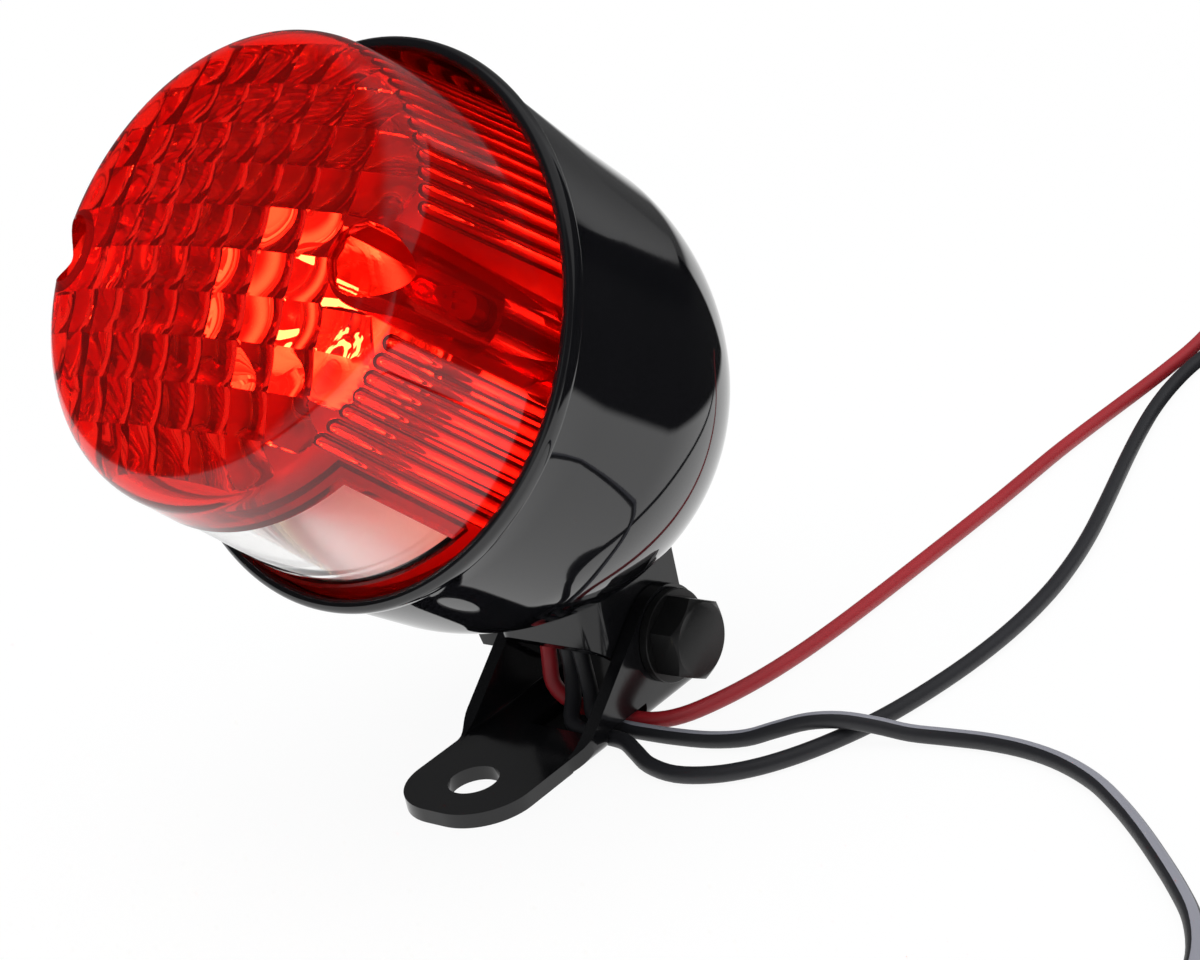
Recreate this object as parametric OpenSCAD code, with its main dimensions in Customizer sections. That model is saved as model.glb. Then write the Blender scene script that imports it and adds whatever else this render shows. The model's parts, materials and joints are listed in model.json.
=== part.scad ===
// Motorcycle tail light with a tilting head on a bolted foot.
// Origin: middle of the foot's bolt hole, on its underside. +Z up, -Y to the lens side,
// +X to the side that the tilt bolt's head is on. Millimetres.

/* [Head placement] */
// Height of the tilt bolt above the foot's underside
pivot_h = 11.7; // [11.2:0.1:13]
// Distance from the foot's bolt hole back to the tilt bolt
pivot_back = 37.8; // [36:0.1:42]
// Angle of the lamp's axis above the foot
head_angle = 40; // [36:1:44]
// Height of the lamp's axis over the tilt bolt, square to that axis
axis_rise = 28.9; // [28:0.1:30]
// Distance from the tilt bolt forward to the middle of the rim, along the lamp's axis
rim_ahead = 74.7; // [73:0.1:77]

/* [Housing] */
// Outside diameter over the rolled lip
rim_d = 85; // [84.4:0.2:88]
// Length of the rolled lip along the shell
lip_len = 3.2; // [2:0.2:5]
// Slope of the front edge, top edge forward
rim_slant = 12; // [8:1:13]
// Outside diameter of the shell behind the lip
shell_front_d = 82.6; // [82.4:0.1:83.4]
// Outside diameter where the dome begins
shell_back_d = 80; // [79:0.2:82]
// Length of the straight part behind the middle of the rim
shell_straight = 30; // [26:1:34]
// Length of the domed end
shell_dome = 45; // [43:0.5:47]
// Fullness of the domed end: 2 is an ellipse
shell_round = 1.75; // [1.7:0.05:1.9]
// Sheet thickness of the shell
shell_t = 1; // [0.8:0.1:1.2]

/* [Lens] */
// How far the side wall draws in from the rear edge to the front corner
lens_taper = 3.6; // [3:0.1:4.4]
// Depth of the lens's rear edge behind the middle of the rim
lens_seat = 11; // [9.5:0.5:13]
// Height of the lens's front corner ahead of the middle of the rim
lens_h = 31.1; // [29:0.1:33]
// Radius of the front corner
lens_corner = 7.5; // [5:0.5:9]
// Radius of the domed front face
lens_dome_r = 115; // [105:5:140]
// Wall thickness of the lens
lens_t = 2.4; // [2:0.1:3]
// Pitch of the pillow optics inside the front face
pillow_pitch = 6.3; // [5.8:0.1:8]
// Height of one pillow
pillow_h = 0.9; // [0.5:0.1:1.2]
// Number of flutes inside the side wall
flute_n = 40; // [36:4:60]
// Radius of one flute
flute_r = 0.9; // [0.6:0.1:1.1]

/* [Number-plate window] */
// Front edge of the window, ahead of the middle of the rim
window_front = 17; // [14:0.5:20]
// Rear edge of the window, behind the middle of the rim
window_back = 6; // [4:0.5:8]
// Half of the angle that the window spans at the bottom of the lens
window_half = 41; // [34:1:46]
// Depth of the window's face below the side wall
window_sink = 0.5; // [0.3:0.1:0.9]

/* [Lens screws] */
// Distance between the two lens screws
screw_gap = 61.5; // [60.5:0.5:62.5]
// Diameter of the wells that the screws sit in
well_d = 10.4; // [9.6:0.2:11]
// Wall of the columns round the wells
column_t = 1.8; // [1.4:0.1:2]
// Floor of the wells, ahead of the middle of the rim
well_floor = 8; // [5:0.5:14]
// Shank diameter of the lens screws
screw_d = 4; // [3.6:0.1:4.4]
// Head diameter of the lens screws
screw_head_d = 7.6; // [7:0.2:8.4]
// Head height of the lens screws
screw_head_h = 2.6; // [2:0.1:3]

/* [Carrier and bulb] */
// Thickness of the rubber gasket under the lens
gasket_t = 2; // [1.5:0.1:2.5]
// Radial width of the gasket
gasket_w = 3; // [2.4:0.1:4]
// Sheet thickness of the reflector plate
carrier_t = 1; // [0.8:0.1:1.2]
// Rise of the reflector's middle that carries the bulb socket
carrier_rise = 4; // [3:0.5:6]
// Sheet thickness of the cross strap
strap_t = 1.6; // [1.2:0.1:2]
// Width of the cross strap
strap_w = 14; // [12:1:16]
// Length of the strap's ends that are bent back along the housing
strap_leg = 14; // [10:1:16]
// Shank diameter of the plate screws
plate_screw_d = 3; // [2.6:0.1:3.4]
// Distance of each plate screw from the lamp's axis
plate_screw_x = 20; // [18:0.5:23]
// Outside diameter of the bulb socket
socket_d = 17.2; // [16.9:0.1:18.2]
// Length of the bulb socket
socket_l = 29; // [28:0.5:31]
// Diameter of the bulb's metal cap
cap_d = 15; // [14.8:0.1:15.2]
// Length of the bulb's metal cap
cap_l = 17; // [16:0.5:18]
// Largest diameter of the bulb's glass
glass_d = 25; // [22:0.5:26.5]
// Length of the glass ahead of the cap
glass_l = 32; // [30:0.5:34]
// Depth of the cap's rear end below the socket's mouth
cap_in = 18; // [17.5:0.1:18.5]

/* [Housing leg] */
// Outside width of the leg between the foot's ears
leg_w = 22.6; // [21.6:0.1:22.8]
// Sheet thickness of the leg
leg_t = 2; // [1.6:0.1:2.4]
// Distance of the leg's front face from the tilt bolt
leg_front = 14.5; // [13.5:0.1:15.5]
// Radius of the leg round the tilt bolt
leg_r = 7.5; // [6.8:0.1:8]
// Height of the front face's lower edge above the tilt bolt
leg_low = 3.7; // [2.5:0.1:5]
// Reach of the leg behind the tilt bolt
leg_back = 8.4; // [8:0.1:9.5]

/* [Foot] */
// Sheet thickness of the foot
foot_t = 2.5; // [2:0.1:2.9]
// Gap between the leg and each ear
ear_gap = 0.3; // [0.2:0.05:0.6]
// Radius of the ears round the tilt bolt
ear_r = 8.6; // [8.2:0.1:9.4]
// Reach of the ears ahead of the tilt bolt
ear_front = 22.3; // [21.6:0.1:23]
// Height where the ears' front edge begins to curve into the tab
ear_nose = 5.2; // [4.6:0.1:6]
// Length over which the ears flow into the tab
ear_flow = 6; // [4:0.5:7]
// Reach of the ears behind the tilt bolt
ear_back = 11; // [10.5:0.1:13]
// Outside radius of the bend at the foot of each ear
bend_r = 3.2; // [2.9:0.1:3.6]
// Width of the front tab
tab_w = 24; // [23:0.5:26]
// Reach of the tab ahead of its bolt hole
tab_reach = 10.2; // [9.8:0.1:12]
// Corner radius at the tab's end
tab_r = 10; // [8:0.5:11]
// Diameter of the bolt hole in the tab
foot_hole_d = 8.6; // [8.4:0.1:9]
// Height of the lead slot under the ear
slot_h = 3.5; // [3.3:0.1:3.8]
// Width of the lead slot
slot_w = 10.4; // [10:0.1:10.8]

/* [Tilt bolt] */
// Diameter of the tilt bolt
bolt_d = 8; // [7.9:0.05:8.1]
// Length of the tilt bolt under its head
bolt_l = 45; // [43:1:50]
// Width across the flats of the bolt's head and nut
bolt_af = 13; // [12:0.5:14]
// Height of the bolt's head
head_h = 5.3; // [4.8:0.1:5.8]
// Height of the nut
nut_h = 6.5; // [6:0.1:8]
// Outside diameter of the plain washers
washer_d = 16; // [15:0.5:17]
// Thickness of a plain washer
washer_t = 1.6; // [1.2:0.1:2]
// Thickness of the spring washer
spring_t = 2; // [1.6:0.1:2.4]

/* [Leads] */
// Outside diameter of one lead
lead_d = 2.8; // [2.4:0.1:2.9]
// Distance between the leads' holes in the grommet
lead_pitch = 3.1; // [3:0.05:3.4]
// Sideways place of the grommet
outlet_x = -1.6; // [-2:0.1:0]
// Thickness of the rubber round the leads in the grommet
grommet_t = 0.9; // [0.7:0.1:1]
// Width of the grommet's flange beyond its neck
grommet_lip = 0.8; // [0.6:0.1:0.9]

/* [Hidden] */
$fn = 64;

// Clearances
fit = 0.05;      // a turning pin in its bore
slip = 0.2;      // loose parts beside each other
ease = 0.3;      // a screw's shank in a clearance hole
over = 1;        // how far a cut runs past a face

// Stations along the lamp's axis, measured from the middle of the rim
gasket_z = -lens_seat - gasket_t;
carrier_z = gasket_z - carrier_t;
strap_z = carrier_z - strap_t;
mouth_z = gasket_z + carrier_rise;
cap_z = mouth_z - cap_in;
glass_z = cap_z + cap_l;
disc_t = 2.4;
tip_h = 1.6;
disc_z = cap_z - tip_h - disc_t;
socket_z = mouth_z - socket_l;
socket_floor = 1;
contact_x = 3;
contact_d = 2.4;
pin_d = 2;
pin_step = 3;
pin_z = mouth_z - 6.7;
plate_nut_h = 2.4;
eyelet_t = 0.8;
seal_t = 1;
glass_in = 3;
glass_floor = 1.6;
bead_z = glass_z - glass_in + glass_floor;
bead_h = 4;
wire_z = bead_z + bead_h - over / 2;
wire_h = 12;
wire_x = 1.92;
filament_y = 1.4;

// Coils of the spring behind the contact disc, and the least gap between them
spring_wire = 0.8;
spring_turns = 3.5;
spring_r = cap_d / 2 - 2;
spring_z0 = socket_z + socket_floor + spring_wire / 2;
spring_z1 = disc_z - spring_wire / 2;
spring_path = [for (a = [0:45:360 * spring_turns])
  [spring_r * cos(a), spring_r * sin(a), spring_z0 + (spring_z1 - spring_z0) * a / (360 * spring_turns)]];
echo(spring_gap = min([for (i = [0:len(spring_path) - 1], j = [i + 5:1:len(spring_path) - 1])
  norm(spring_path[i] - spring_path[j])]) - spring_wire);

// The shell's outline
shell_r0 = shell_front_d / 2;
shell_r1 = shell_back_d / 2;
shell_len = shell_straight + shell_dome;
brim = rim_d / 2 * tan(rim_slant) + over;
function dome_r(b, cut) =
  (shell_r1 - cut) * pow(1 - pow((b - shell_straight) / (shell_dome - cut), shell_round), 1 / shell_round);
function straight_r(b, cut) = shell_r0 + (shell_r1 - shell_r0) * b / shell_straight - cut;
function shell_r(b, cut = 0) = b < shell_straight ? straight_r(b, cut) : dome_r(b, cut);
function bore_r(z0, z1) = min(shell_r(-z0, shell_t), shell_r(-z1, shell_t));
function shell_points(cut) = concat(
  [[0, brim], [shell_r0 - cut, brim], [shell_r0 - cut, 0]],
  [for (a = [0:6:84]) let (b = shell_straight + (shell_dome - cut) * pow(sin(a), 2 / shell_round))
    [shell_r(b, cut), -b]],
  [[0, cut - shell_len]]);

// Neck of the grommet, through the shell, with a round end at each outer lead
neck_r = lead_d / 2 + grommet_t;

// The grommet sits square to the dome, just behind the leg's front wall
function behind_bolt(b) =
  (axis_rise - shell_r(b)) * sin(head_angle) - (rim_ahead - b) * cos(head_angle);
function depth_at(y, low, high, n = 20) = let (mid = (low + high) / 2)
  n == 0 ? mid : behind_bolt(mid) < y ? depth_at(y, mid, high, n - 1) : depth_at(y, low, mid, n - 1);
outlet_deep = depth_at(leg_t - leg_front + neck_r + grommet_lip + ease, shell_straight, shell_len);
outlet_r = shell_r(outlet_deep);
outlet_slope = atan2(
  pow((outlet_deep - shell_straight) / shell_dome, shell_round - 1) / shell_dome,
  pow(outlet_r / shell_r1, shell_round - 1) / shell_r1);

// The lens's outline
lens_r0 = shell_r(lens_seat, shell_t) - fit / 2;
lens_r1 = lens_r0 - lens_taper;
column_r = well_d / 2 + column_t;
lens_fall = (lens_r0 - lens_r1) / (lens_seat + lens_h - lens_corner);
function lens_r(z) = lens_r1 + (lens_h - lens_corner - z) * lens_fall;
dome_lean = asin((lens_r1 - lens_corner) / (lens_dome_r - lens_corner));
dome_z = lens_h - lens_corner - (lens_dome_r - lens_corner) * cos(dome_lean);
lens_top = dome_z + lens_dome_r;
function face_z(r, cut = 0) = dome_z + sqrt(pow(lens_dome_r - cut, 2) - r * r);
function lens_points(cut, low) = concat(
  [[0, low], [lens_r(low) - cut, low]],
  [for (k = [0:0.2:1]) let (a = k * (90 - dome_lean)) [lens_r1 - lens_corner + (lens_corner - cut) * cos(a),
    lens_h - lens_corner + (lens_corner - cut) * sin(a)]],
  [for (k = [0.8:-0.2:0]) let (a = k * dome_lean) [(lens_dome_r - cut) * sin(a),
    dome_z + (lens_dome_r - cut) * cos(a)]]);

// The tilt bolt's stations across the foot
ear_x = leg_w / 2 + ear_gap + foot_t;
ear_w = 2 * ear_x;
head_x = ear_x + washer_t;
nut_x = -ear_x - washer_t - spring_t;

// The lead slot begins just behind the ears' front end
slot_back = ear_front - bend_r + 0.4 - slot_w;
slot_in = 3.4;

// Routes of the three leads, from the grommet under the foot's ear and along the ground
drop_n = 7;
red_line = [
  [-4.7, 28.8, 20.3], [-4.7, 28.8, 15], [-4.6, 28.7, 9.5], [-3.2, 27.6, 5], [0.2, 26.9, 2.4],
  [5, 26.9, 1.5], [10, 26.7, 1.5], [16, 27, 1.5], [20.2, 30, 1.5], [23.2, 36, 1.5], [25.6, 44, 1.5],
  [27.2, 53, 1.5], [28.2, 63, 1.5], [28.8, 74, 1.5], [29.2, 85, 1.5], [29.5, 96, 1.5],
  [29.8, 107, 1.5], [30, 118, 1.5], [30, 129, 1.5], [30, 140, 1.5], [30.4, 151, 1.5],
  [31, 162, 1.5], [31.6, 173, 1.5], [32, 184, 1.5], [32, 195, 1.5], [31, 206, 1.5], [29, 216, 1.5],
  [26, 225, 1.5], [22, 233, 1.5]];
black_line = [
  [-1.6, 28.8, 20.3], [-1.6, 28.6, 15], [-1.4, 27.4, 9.5], [-0.2, 24.2, 5], [3, 21.3, 2.3],
  [7, 20.3, 1.5], [11.5, 20.1, 1.5], [16, 19.6, 1.5], [20, 17.4, 1.5], [25, 14.6, 1.5],
  [31, 13.6, 1.5], [37, 15.4, 1.5], [42, 19, 1.5], [46.2, 24, 1.5], [50, 30.6, 1.5],
  [53.6, 39.4, 1.5], [56.2, 50, 1.5], [58, 62, 1.5], [58.6, 74, 1.5], [58, 86, 1.5],
  [56.4, 97, 1.5], [54, 108, 1.5], [51, 119, 1.5], [47.8, 130, 1.5], [44.6, 141, 1.5],
  [41.6, 152, 1.5], [39, 163, 1.5], [37.2, 174, 1.5], [36.4, 185, 1.5], [37, 196, 1.5],
  [39, 206, 1.5], [42, 215, 1.5]];
stripe_line = [
  [1.5, 28.8, 20.3], [1.5, 28.6, 15], [1.7, 27.8, 9.5], [2.8, 25.6, 5.2], [5, 23.8, 2.7],
  [8, 23.4, 1.6], [12, 23.3, 1.5], [16, 23.3, 1.5], [23, 23.6, 1.5], [30, 24.6, 1.5],
  [36, 26.2, 2], [41, 28, 3.4], [46, 30, 4.6], [51, 32, 4.6], [56, 34, 3.4], [61, 35.6, 2],
  [67, 37, 1.5], [74, 37.6, 1.5], [81, 37.2, 1.5], [88, 35.4, 1.5], [95, 32, 1.5],
  [101, 27.6, 1.5], [107, 22.4, 1.5], [113, 16.6, 1.5], [119, 10.4, 1.5], [124, 4.4, 1.5],
  [128, -3, 1.5], [130, -11, 1.5], [129, -19, 1.5], [125, -26, 1.5], [119, -31, 1.5],
  [111, -34.6, 1.5], [102, -37, 1.5], [93, -39, 1.5], [84, -41, 1.5], [75, -43, 1.5]];

// Puts children on the lamp's own axes: z along its axis from the middle of the rim, y up
module on_lamp() {
  translate([0, pivot_back, pivot_h]) rotate([90 - head_angle, 0, 0])
    translate([0, axis_rise, rim_ahead]) children();
}

// Puts children on the tilt bolt's middle
module on_pivot() {
  translate([0, pivot_back, pivot_h]) children();
}

// A disc or tube from z up by h
module ring(r_out, r_in, z, h) {
  translate([0, 0, z]) difference() {
    cylinder(r = r_out, h = h);
    if (r_in > 0) translate([0, 0, -over]) cylinder(r = r_in, h = h + 2 * over);
  }
}

// A round hole from z up by h, cut past both faces
module drill(r, z, h) {
  translate([0, 0, z - over]) cylinder(r = r, h = h + 2 * over);
}

// A bar along X with round ends of radius r, from z up by h
module round_bar(r, half, z, h) {
  translate([-half, -r, z]) cube([2 * half, 2 * r, h]);
  for (s = [-1, 1]) translate([s * half, 0, z]) cylinder(r = r, h = h);
}

// The places of the two lens screws, and of the two plate screws
module at_screws() {
  for (s = [-1, 1]) translate([s * screw_gap / 2, 0, 0]) children();
}

module at_plate_screws() {
  for (s = [-1, 1]) translate([s * plate_screw_x, 0, 0]) children();
}

// One round rod along X, from x0 to x1
module rod_x(r, x0, x1) {
  translate([x0, 0, 0]) rotate([0, 90, 0]) cylinder(r = r, h = x1 - x0);
}

// A hexagon prism along X with chamfered corners on its outer end
module hex_x(af, x0, x1, outward) {
  corner = af / cos(30) / 2;
  chamfer = 0.96;
  rotate([0, 90, 0]) intersection() {
    translate([0, 0, x0]) cylinder(r = corner, h = x1 - x0, $fn = 6);
    translate([0, 0, outward > 0 ? x0 : x1]) mirror([0, 0, outward > 0 ? 0 : 1])
      cylinder(r1 = corner + (x1 - x0) * 1.2, r2 = chamfer * af / 2, h = x1 - x0);
  }
}

// Touching point of the line from p to a circle of radius r round the origin
function touch(p, r, side) =
  let (a = atan2(p[1], p[0]) + side * acos(r / norm(p))) [r * cos(a), r * sin(a)];

// Sweeps a round tube along a list of points, or along a stretch of it that ends square to its bends
function unit(v) = v / norm(v);
function heading(p, i) = unit(p[min(i + 1, len(p) - 1)] - p[max(i - 1, 0)]);
function across(d) = unit(cross(d, abs(d[2]) > 0.9 ? [0, 1, 0] : [0, 0, 1]));
function carry(p, i, s) = i == 0 ? s : let (d = heading(p, i), q = carry(p, i - 1, s)) unit(q - d * (q * d));
module tube(p, d, sides = 8, first = 0, past = 0) {
  start = across(heading(p, 0));
  rings = [for (i = [first:len(p) - 1 - past])
    let (h = heading(p, i), s = carry(p, i, start), u = cross(h, s))
    for (k = [0:sides - 1]) p[i] + d / 2 * (cos(k * 360 / sides) * s + sin(k * 360 / sides) * u)];
  spans = len(p) - 1 - past - first;
  last = spans * sides;
  polyhedron(rings, concat(
    [for (k = [1:sides - 2]) [0, k + 1, k]],
    [for (k = [1:sides - 2]) [last, last + k, last + k + 1]],
    [for (i = [0:spans - 1], k = [0:sides - 1]) let (a = i * sides + k, b = i * sides + (k + 1) % sides)
      [a, b, b + sides]],
    [for (i = [0:spans - 1], k = [0:sides - 1]) let (a = i * sides + k, b = i * sides + (k + 1) % sides)
      [a, b + sides, a + sides]]));
}

// Everything ahead of the slanted front edge, set back by b
module ahead_of_rim(b, h) {
  rotate([rim_slant, 0, 0]) translate([-rim_d, -rim_d, -b]) cube([2 * rim_d, 2 * rim_d, h]);
}

module shell_solid(cut) {
  rotate_extrude() polygon(shell_points(cut));
}

// Places children at the grommet, z square to the dome and pointing out of it
module at_outlet() {
  translate([outlet_x, -outlet_r, -outlet_deep]) rotate([90 + outlet_slope, 0, 0]) children();
}

module housing() {
  color("#141416") on_lamp() difference() {
    union() {
      difference() {
        shell_solid(0);
        ahead_of_rim(0, 3 * brim);
      }
      intersection() {
        ring(rim_d / 2, 0, -2 * brim, 4 * brim);
        ahead_of_rim(lip_len, lip_len);
      }
    }
    shell_solid(shell_t);
    ring(shell_r0 - shell_t, 0, -over, 2 * brim);
    at_outlet() round_bar(neck_r + slip / 2, lead_pitch, -lead_pitch, 2 * lead_pitch);
  }
}

// Side outline of the leg, round the tilt bolt
module leg_side() {
  nose = [-leg_front, leg_low];
  top = axis_rise;
  polygon([nose, touch(nose, leg_r, 1), [0, 0], [leg_r, 0], [leg_back, leg_r / 2], [leg_back, top],
    [-leg_front, top]]);
  circle(r = leg_r);
}

// Plan of the leg: a channel that is open behind
module leg_plan() {
  r = leg_t + 1.2;
  mid_x = leg_w / 2 - r;
  front_y = r - leg_front;
  rear = 3 * leg_back;
  difference() {
    union() {
      translate([-leg_w / 2, front_y]) square([leg_w, leg_front + rear]);
      translate([-mid_x, -leg_front]) square([2 * mid_x, r + over]);
      for (s = [-1, 1]) translate([s * mid_x, front_y]) circle(r = r);
    }
    translate([leg_t - leg_w / 2, front_y]) square([leg_w - 2 * leg_t, leg_front + 2 * rear]);
    translate([-mid_x, leg_t - leg_front]) square([2 * mid_x, leg_front + 2 * rear]);
    for (s = [-1, 1]) translate([s * mid_x, front_y]) circle(r = r - leg_t);
  }
}

module housing_leg() {
  color("#141416") difference() {
    on_pivot() intersection() {
      translate([0, 0, -leg_r - over]) linear_extrude(height = leg_r + axis_rise) leg_plan();
      rotate([90, 0, 90]) translate([0, 0, -leg_w / 2 - over]) linear_extrude(height = leg_w + 2 * over)
        leg_side();
    }
    on_lamp() shell_solid(0);
    on_pivot() rod_x(bolt_d / 2 + fit, -leg_w, leg_w);
  }
}

// Flat strap across the housing, with its ends bent back along the wall
module cross_strap() {
  wall = bore_r(strap_z + strap_t, strap_z - strap_leg);
  end_x = sqrt(wall * wall - strap_w * strap_w / 4) - slip / 2;
  boss_t = 1.2;
  boss_h = 2;
  ring_w = 4;
  color("silver") on_lamp() difference() {
    union() {
      translate([-end_x, -strap_w / 2, strap_z]) cube([2 * end_x, strap_w, strap_t]);
      for (x = [-end_x, end_x - strap_t]) translate([x, -strap_w / 2, strap_z - strap_leg])
        cube([strap_t, strap_w, strap_leg + strap_t]);
      at_screws() ring(screw_d / 2 + boss_t, 0, strap_z - boss_h, boss_h + strap_t / 2);
      ring(socket_d / 2 + ring_w, 0, strap_z, strap_t);
    }
    drill(socket_d / 2 + slip, strap_z, strap_t);
    at_screws() drill(screw_d / 2 + fit, strap_z - boss_h, boss_h + strap_t);
    at_plate_screws() drill(plate_screw_d / 2 + slip / 2, strap_z, strap_t);
  }
}

module reflector_plate() {
  r_out = bore_r(carrier_z, gasket_z) - 2 * ease;
  seat_r = socket_d / 2 + 3;
  slope_r = seat_r + 3;
  tuck = carrier_t / 3;
  color("gainsboro") on_lamp() difference() {
    rotate_extrude() polygon([
      [0, mouth_z - carrier_t], [seat_r, mouth_z - carrier_t], [slope_r, carrier_z],
      [r_out, carrier_z], [r_out, gasket_z], [slope_r + tuck, gasket_z],
      [seat_r + tuck, mouth_z], [0, mouth_z]]);
    drill(socket_d / 2 + slip, carrier_z, carrier_t + carrier_rise);
    at_screws() drill(screw_d / 2 + ease, carrier_z, carrier_t);
    at_plate_screws() drill(plate_screw_d / 2 + slip / 2, carrier_z, carrier_t);
  }
}

module plate_screws() {
  head_h = 1.8;
  past_nut = 0.8;
  shank_z = strap_z - eyelet_t - plate_nut_h - past_nut;
  color("silver") on_lamp() at_plate_screws() {
    ring(plate_screw_d / 2, 0, shank_z, gasket_z - shank_z + head_h / 2);
    ring(plate_screw_d, 0, gasket_z, head_h);
  }
}

module plate_nuts() {
  nut_r = 0.92 * plate_screw_d / cos(30);
  color("silver") on_lamp() for (s = [-1, 1])
    translate([s * plate_screw_x, 0, strap_z - plate_nut_h - (s > 0 ? eyelet_t : 0)]) difference() {
      cylinder(r = nut_r, h = plate_nut_h, $fn = 6);
      drill(plate_screw_d / 2 + fit, 0, plate_nut_h);
    }
}

module earth_eyelet() {
  eye_r = plate_screw_d / 2 + 1.9;
  tongue_w = 3;
  tongue_l = 5.6;
  barrel_r = 1.7;
  barrel_l = 5;
  color("gold") on_lamp() translate([plate_screw_x, 0, strap_z - eyelet_t]) {
    ring(eye_r, plate_screw_d / 2 + slip / 2, 0, eyelet_t);
    translate([-tongue_w / 2, 0.5 - eye_r - tongue_l, 0]) cube([tongue_w, tongue_l, eyelet_t]);
    translate([0, 0.7 - eye_r - tongue_l, eyelet_t - barrel_r]) rotate([90, 0, 0])
      ring(barrel_r, barrel_r / 2, 0, barrel_l);
  }
}

module lens_gasket() {
  r_out = bore_r(gasket_z, gasket_z + gasket_t) - fit - slip / 2;
  r_in = min(r_out - gasket_w, screw_gap / 2 + column_r - over);
  color("#202022") on_lamp() difference() {
    intersection() {
      union() {
        ring(r_out, r_in, gasket_z, gasket_t);
        at_screws() ring(column_r, 0, gasket_z, gasket_t);
      }
      drill(r_out, gasket_z, gasket_t);
    }
    at_screws() drill(screw_d / 2 + ease, gasket_z, gasket_t);
  }
}

// Body of the lens's side wall between two heights, over the window's angle
module window_sector(out, z0, z1, half, depth) {
  rotate([0, 0, -90 - half]) rotate_extrude(angle = 2 * half) polygon([
    [lens_r(z0) + out - depth, z0], [lens_r(z0) + out, z0], [lens_r(z1) + out, z1],
    [lens_r(z1) + out - depth, z1]]);
}

// Pillow optics that stand on the inner side of the front face
module pillows() {
  groove = 0.4;
  root = 0.3;
  half = (pillow_pitch - groove) / 2;
  ball = (half * half * 2 + pillow_h * pillow_h) / (2 * pillow_h);
  reach = lens_r1 - lens_t - 2.5;
  n = floor(reach / pillow_pitch);
  for (i = [-n:n - 1], j = [-n:n - 1]) {
    x = (i + 0.5) * pillow_pitch;
    y = (j + 0.5) * pillow_pitch;
    far = norm([abs(x) + half, abs(y) + half]);
    near = norm([abs(x) - half, abs(y) - half]);
    step = face_z(near, lens_t) - face_z(far, lens_t);
    if (far < reach && norm([abs(x) - screw_gap / 2, y]) > column_r + half)
      translate([x, y, face_z(far, lens_t)]) intersection() {
        translate([-half, -half, -2 * pillow_h]) cube([2 * half, 2 * half, 2 * pillow_h + step + root]);
        translate([0, 0, ball - pillow_h]) sphere(r = ball);
      }
  }
}

// Half-round flutes down the inside of the side wall
module flutes() {
  z0 = 2 - lens_seat;
  z1 = lens_h - lens_corner;
  lean = atan(lens_fall);
  wall_r = lens_r1 - lens_t;
  for (k = [0.5:flute_n - 0.5]) let (a = k * 360 / flute_n)
    if (norm([abs(wall_r * cos(a)) - screw_gap / 2, wall_r * sin(a)]) > column_r + flute_r + ease
        && abs(a - 270) > window_half + 4)
      rotate([0, 0, a]) translate([lens_r(z0) - lens_t, 0, z0]) rotate([0, -lean, 0])
        cylinder(r = flute_r, h = (z1 - z0) / cos(lean), $fn = 24);
}

module red_lens() {
  skin = 0.2;
  tall = lens_top - well_floor;
  color("#c8101a", 0.75) on_lamp() difference() {
    union() {
      difference() {
        rotate_extrude() polygon(lens_points(0, -lens_seat));
        rotate_extrude() polygon(lens_points(lens_t, -lens_seat - over));
      }
      intersection() {
        rotate_extrude() polygon(lens_points(skin, -lens_seat));
        at_screws() ring(column_r, 0, -lens_seat, 2 * lens_h);
      }
      pillows();
      flutes();
    }
    at_screws() {
      ring(well_d / 2, 0, well_floor, tall);
      drill(screw_d / 2 + ease, -lens_seat, tall);
    }
    window_sector(over, -window_back, window_front, window_half, 3 * lens_t + over);
  }
}

module plate_window() {
  gap = 0.1;
  lap = 1.5;
  lap_t = 1.2;
  color("white", 0.5) on_lamp() {
    window_sector(-window_sink, gap - window_back, window_front - gap, window_half - gap,
      lens_t - window_sink + lap_t / 2);
    // Inner flange that laps behind the opening's edge
    window_sector(-lens_t - gap, -window_back - lap, window_front + lap, window_half + lap, lap_t);
  }
}

module lens_screws() {
  end_z = strap_z - 4;
  seat_z = well_floor + seal_t;
  slot_l = 4.4;
  slot_t = 1;
  slot_deep = 0.6;
  color("silver") on_lamp() at_screws() difference() {
    union() {
      ring(screw_d / 2, 0, end_z, seat_z - end_z + screw_head_h / 2);
      ring(screw_head_d / 2, 0, seat_z, screw_head_h);
    }
    // Crossed recess in the head
    for (a = [0, 90]) rotate([0, 0, a])
      translate([-slot_l / 2, -slot_t / 2, seat_z + screw_head_h - slot_deep]) cube([slot_l, slot_t, over]);
  }
}

module screw_seals() {
  seal_r = screw_head_d / 2 + 0.5;
  color("#202022") on_lamp() at_screws() ring(seal_r, screw_d / 2 + slip / 2, well_floor, seal_t);
}

module bulb_socket() {
  inner = cap_d / 2 + slip;
  flange_w = 2.2;
  flange_t = 0.8;
  lead_hole_r = 4.2;
  track_w = pin_d + 3 * slip;
  turn = 24;
  color("silver") on_lamp() difference() {
    union() {
      ring(socket_d / 2, 0, socket_z, socket_l);
      ring(socket_d / 2 + flange_w, 0, mouth_z, flange_t);
    }
    drill(inner, socket_z + socket_floor + over, socket_l);
    drill(lead_hole_r, socket_z, socket_floor);
    // Bayonet tracks, one deeper than the other
    for (s = [0, 1]) rotate([0, 0, 180 * s]) {
      track_z = pin_z - track_w / 2 - pin_step * s;
      translate([inner - over, -track_w / 2, track_z]) cube([3, track_w, socket_l]);
      rotate_extrude(angle = turn) translate([inner - over, track_z]) square([3, track_w]);
    }
  }
}

module contact_spring() {
  color("silver") on_lamp() tube(spring_path, spring_wire, 6);
}

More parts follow.
